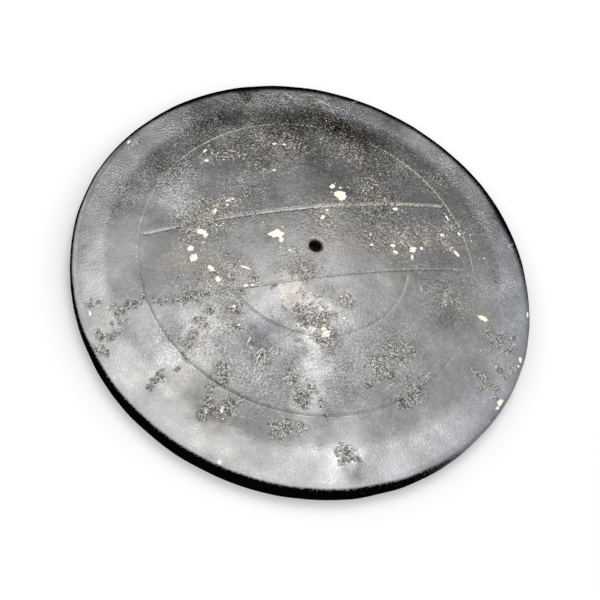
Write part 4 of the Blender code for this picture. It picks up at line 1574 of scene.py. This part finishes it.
@dataclass(frozen=True)
class Underside:
    """The welded pieces under the plate, which keep their solids."""

    nodes: tuple[tuple[Slot, tuple[str, ...]], ...] = (
        (Slot.COATED_STEEL, ("spigot_ring", "lock_housing", *(f"rib_{number}" for number in range(1, 9)))),
        (Slot.BARE_STEEL, ("stop_pin_open", "stop_pin_locked")),
        (Slot.BRONZE, ("upper_bush", "lower_bush")),
        (Slot.RUBBER, ("sealing_gasket",)),
    )

    def dress(self, finishes: dict[Slot, bpy.types.Material]) -> None:
        """Gives the solids their finishes.

        Args:
            finishes: The finish of each slot.
        """
        for slot, names in self.nodes:
            for name in names:
                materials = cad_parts[name].data.materials
                materials.clear()
                materials.append(finishes[slot])
                LOG.info("dressed %s in %s", name, finishes[slot].name)


@dataclass(frozen=True)
class Lock(Underside):
    """The turning pieces, which keep their solids."""

    nodes: tuple[tuple[Slot, tuple[str, ...]], ...] = (
        (Slot.BARE_STEEL, ("spindle", "locking_bar", "wedge_pad_1", "wedge_pad_2", "retaining_ring")),
        (Slot.BRONZE, ("thrust_washer",)),
        (Slot.RUBBER, ("spindle_seal",)),
    )


@dataclass(frozen=True)
class Studio:
    """White floor, soft lamp, plain sky and the camera."""

    focal_mm: float = 57.073
    sensor_mm: float = 36.0
    elevation: float = 57.783
    azimuth: float = -32.594
    roll: float = 21.687
    distance: float = 1.21249
    target: tuple[float, float, float] = (-0.01529, -0.03703, 0.0)
    floor_size: float = 60.0
    floor_colour: str = "#eeeeee"
    lamp_azimuth: float = 64.0
    lamp_elevation: float = 69.0
    lamp_distance: float = 3.0
    lamp_size: float = 1.6
    lamp_watts: float = 26.5
    lamp_colour: str = "#fffbf7"
    sky_strength: float = 1.19
    # Colour of the room by the sine of its height, dim at the walls
    sky_stops: tuple[tuple[float, str], ...] = ((0.0, "#c2c6cb"), (0.45, "#fdfeff"))
    # The dark wall: where its middle is, how far its core and its soft edge reach, and its light
    dark_azimuth: float = 68.0
    dark_elevation: float = 30.0
    dark_core: float = 18.0
    dark_reach: float = 44.0
    dark_share: float = 0.05

    def camera(self) -> bpy.types.Object:
        """Sets the camera where the picture was taken from.

        Returns:
            The camera.
        """
        rise, swing, roll = (math.radians(turn) for turn in (self.elevation, self.azimuth, self.roll))
        across = math.cos(rise)
        back = Vector((across * math.sin(swing), -across * math.cos(swing), math.sin(rise)))
        level = Vector((math.cos(swing), math.sin(swing), 0.0))
        upright = back.cross(level)
        right = math.cos(roll) * level + math.sin(roll) * upright
        up = -math.sin(roll) * level + math.cos(roll) * upright
        lens = bpy.data.cameras.new("camera")
        lens.lens = self.focal_mm
        lens.sensor_width = self.sensor_mm
        camera = bpy.data.objects.new("camera", lens)
        turn = Matrix((right, up, back)).transposed().to_4x4()
        camera.matrix_world = Matrix.Translation(Vector(self.target) + back * self.distance) @ turn
        bpy.context.scene.collection.objects.link(camera)
        bpy.context.scene.camera = camera
        return camera

    def lamp(self) -> bpy.types.Object:
        """Hangs the soft lamp beyond the cover.

        Returns:
            The lamp.
        """
        way = direction(self.lamp_azimuth, self.lamp_elevation)
        light = bpy.data.lights.new("soft_lamp", "AREA")
        light.shape = "DISK"
        light.size = self.lamp_size
        light.energy = self.lamp_watts
        light.color = linear(self.lamp_colour)[:3]
        lamp = bpy.data.objects.new("soft_lamp", light)
        lamp.location = way * self.lamp_distance
        lamp.rotation_euler = way.to_track_quat("Z", "Y").to_euler()
        bpy.context.scene.collection.objects.link(lamp)
        return lamp

    def sky(self) -> None:
        """Lights the rest of the room: even, with the dark wall that the far slope mirrors."""
        world = bpy.data.worlds.new("studio")
        world.use_nodes = True
        bpy.context.scene.world = world
        tree = world.node_tree
        way = add_node(tree, "TexCoord", output="Generated")
        height = add_node(tree, "SeparateXYZ", {0: way}, "Z")
        colour = add_node(tree, "ValToRGB", {"Fac": height}, stops=self.sky_stops)
        inputs = {0: way, 1: direction(self.dark_azimuth, self.dark_elevation)}
        near_dark = add_node(tree, "VectorMath", inputs, "Value", operation="DOT_PRODUCT")
        inputs = {
            "Value": near_dark,
            "From Min": math.cos(math.radians(self.dark_reach)),
            "From Max": math.cos(math.radians(self.dark_core)),
            "To Min": self.sky_strength,
            "To Max": self.dark_share * self.sky_strength,
        }
        level = add_node(tree, "MapRange", inputs, interpolation_type="SMOOTHSTEP")
        set_inputs(tree, tree.nodes["Background"], {"Color": colour, "Strength": level})

    def floor(self) -> bpy.types.Object:
        """Lays the plain pale floor.

        Returns:
            The floor.
        """
        ground = bmesh.new()
        bmesh.ops.create_grid(ground, x_segments=1, y_segments=1, size=self.floor_size / 2)
        mesh = bpy.data.meshes.new("floor")
        ground.to_mesh(mesh)
        ground.free()
        material, tree, shader = new_material("matt white board")
        matt = {"Roughness": 1.0, "Specular IOR Level": 0.0}
        set_inputs(tree, shader, {"Base Color": linear(self.floor_colour)} | matt)
        mesh.materials.append(material)
        floor = bpy.data.objects.new("floor", mesh)
        bpy.context.scene.collection.objects.link(floor)
        return floor


def main() -> None:
    """Builds the visible pieces, dresses the solids, and sets the studio."""
    logging.basicConfig(level=logging.INFO, format="%(name)s: %(message)s")
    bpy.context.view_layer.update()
    paint, primed = WornBitumenPaint().material(), PrimedSteel().material()
    DomedPlate().dressed(paint, primed)
    RimSkirt().dressed(paint, primed)
    PaintChips().dressed(OldCreamPaint().material())
    BrightScratches().dressed(ScoredSteel().material())
    PaintBlisters().dressed(BlisteredPaint().material())
    finishes = {
        Slot.COATED_STEEL: primed,
        Slot.BARE_STEEL: GreasedSteel().material(),
        Slot.BRONZE: BearingBronze().material(),
        Slot.RUBBER: MouldedRubber().material(),
    }
    Underside().dress(finishes)
    Lock().dress(finishes)
    studio = Studio()
    studio.floor()
    studio.lamp()
    studio.sky()
    studio.camera()
    bpy.context.scene.view_settings.view_transform = "Standard"


if __name__ == "__main__":
    main()
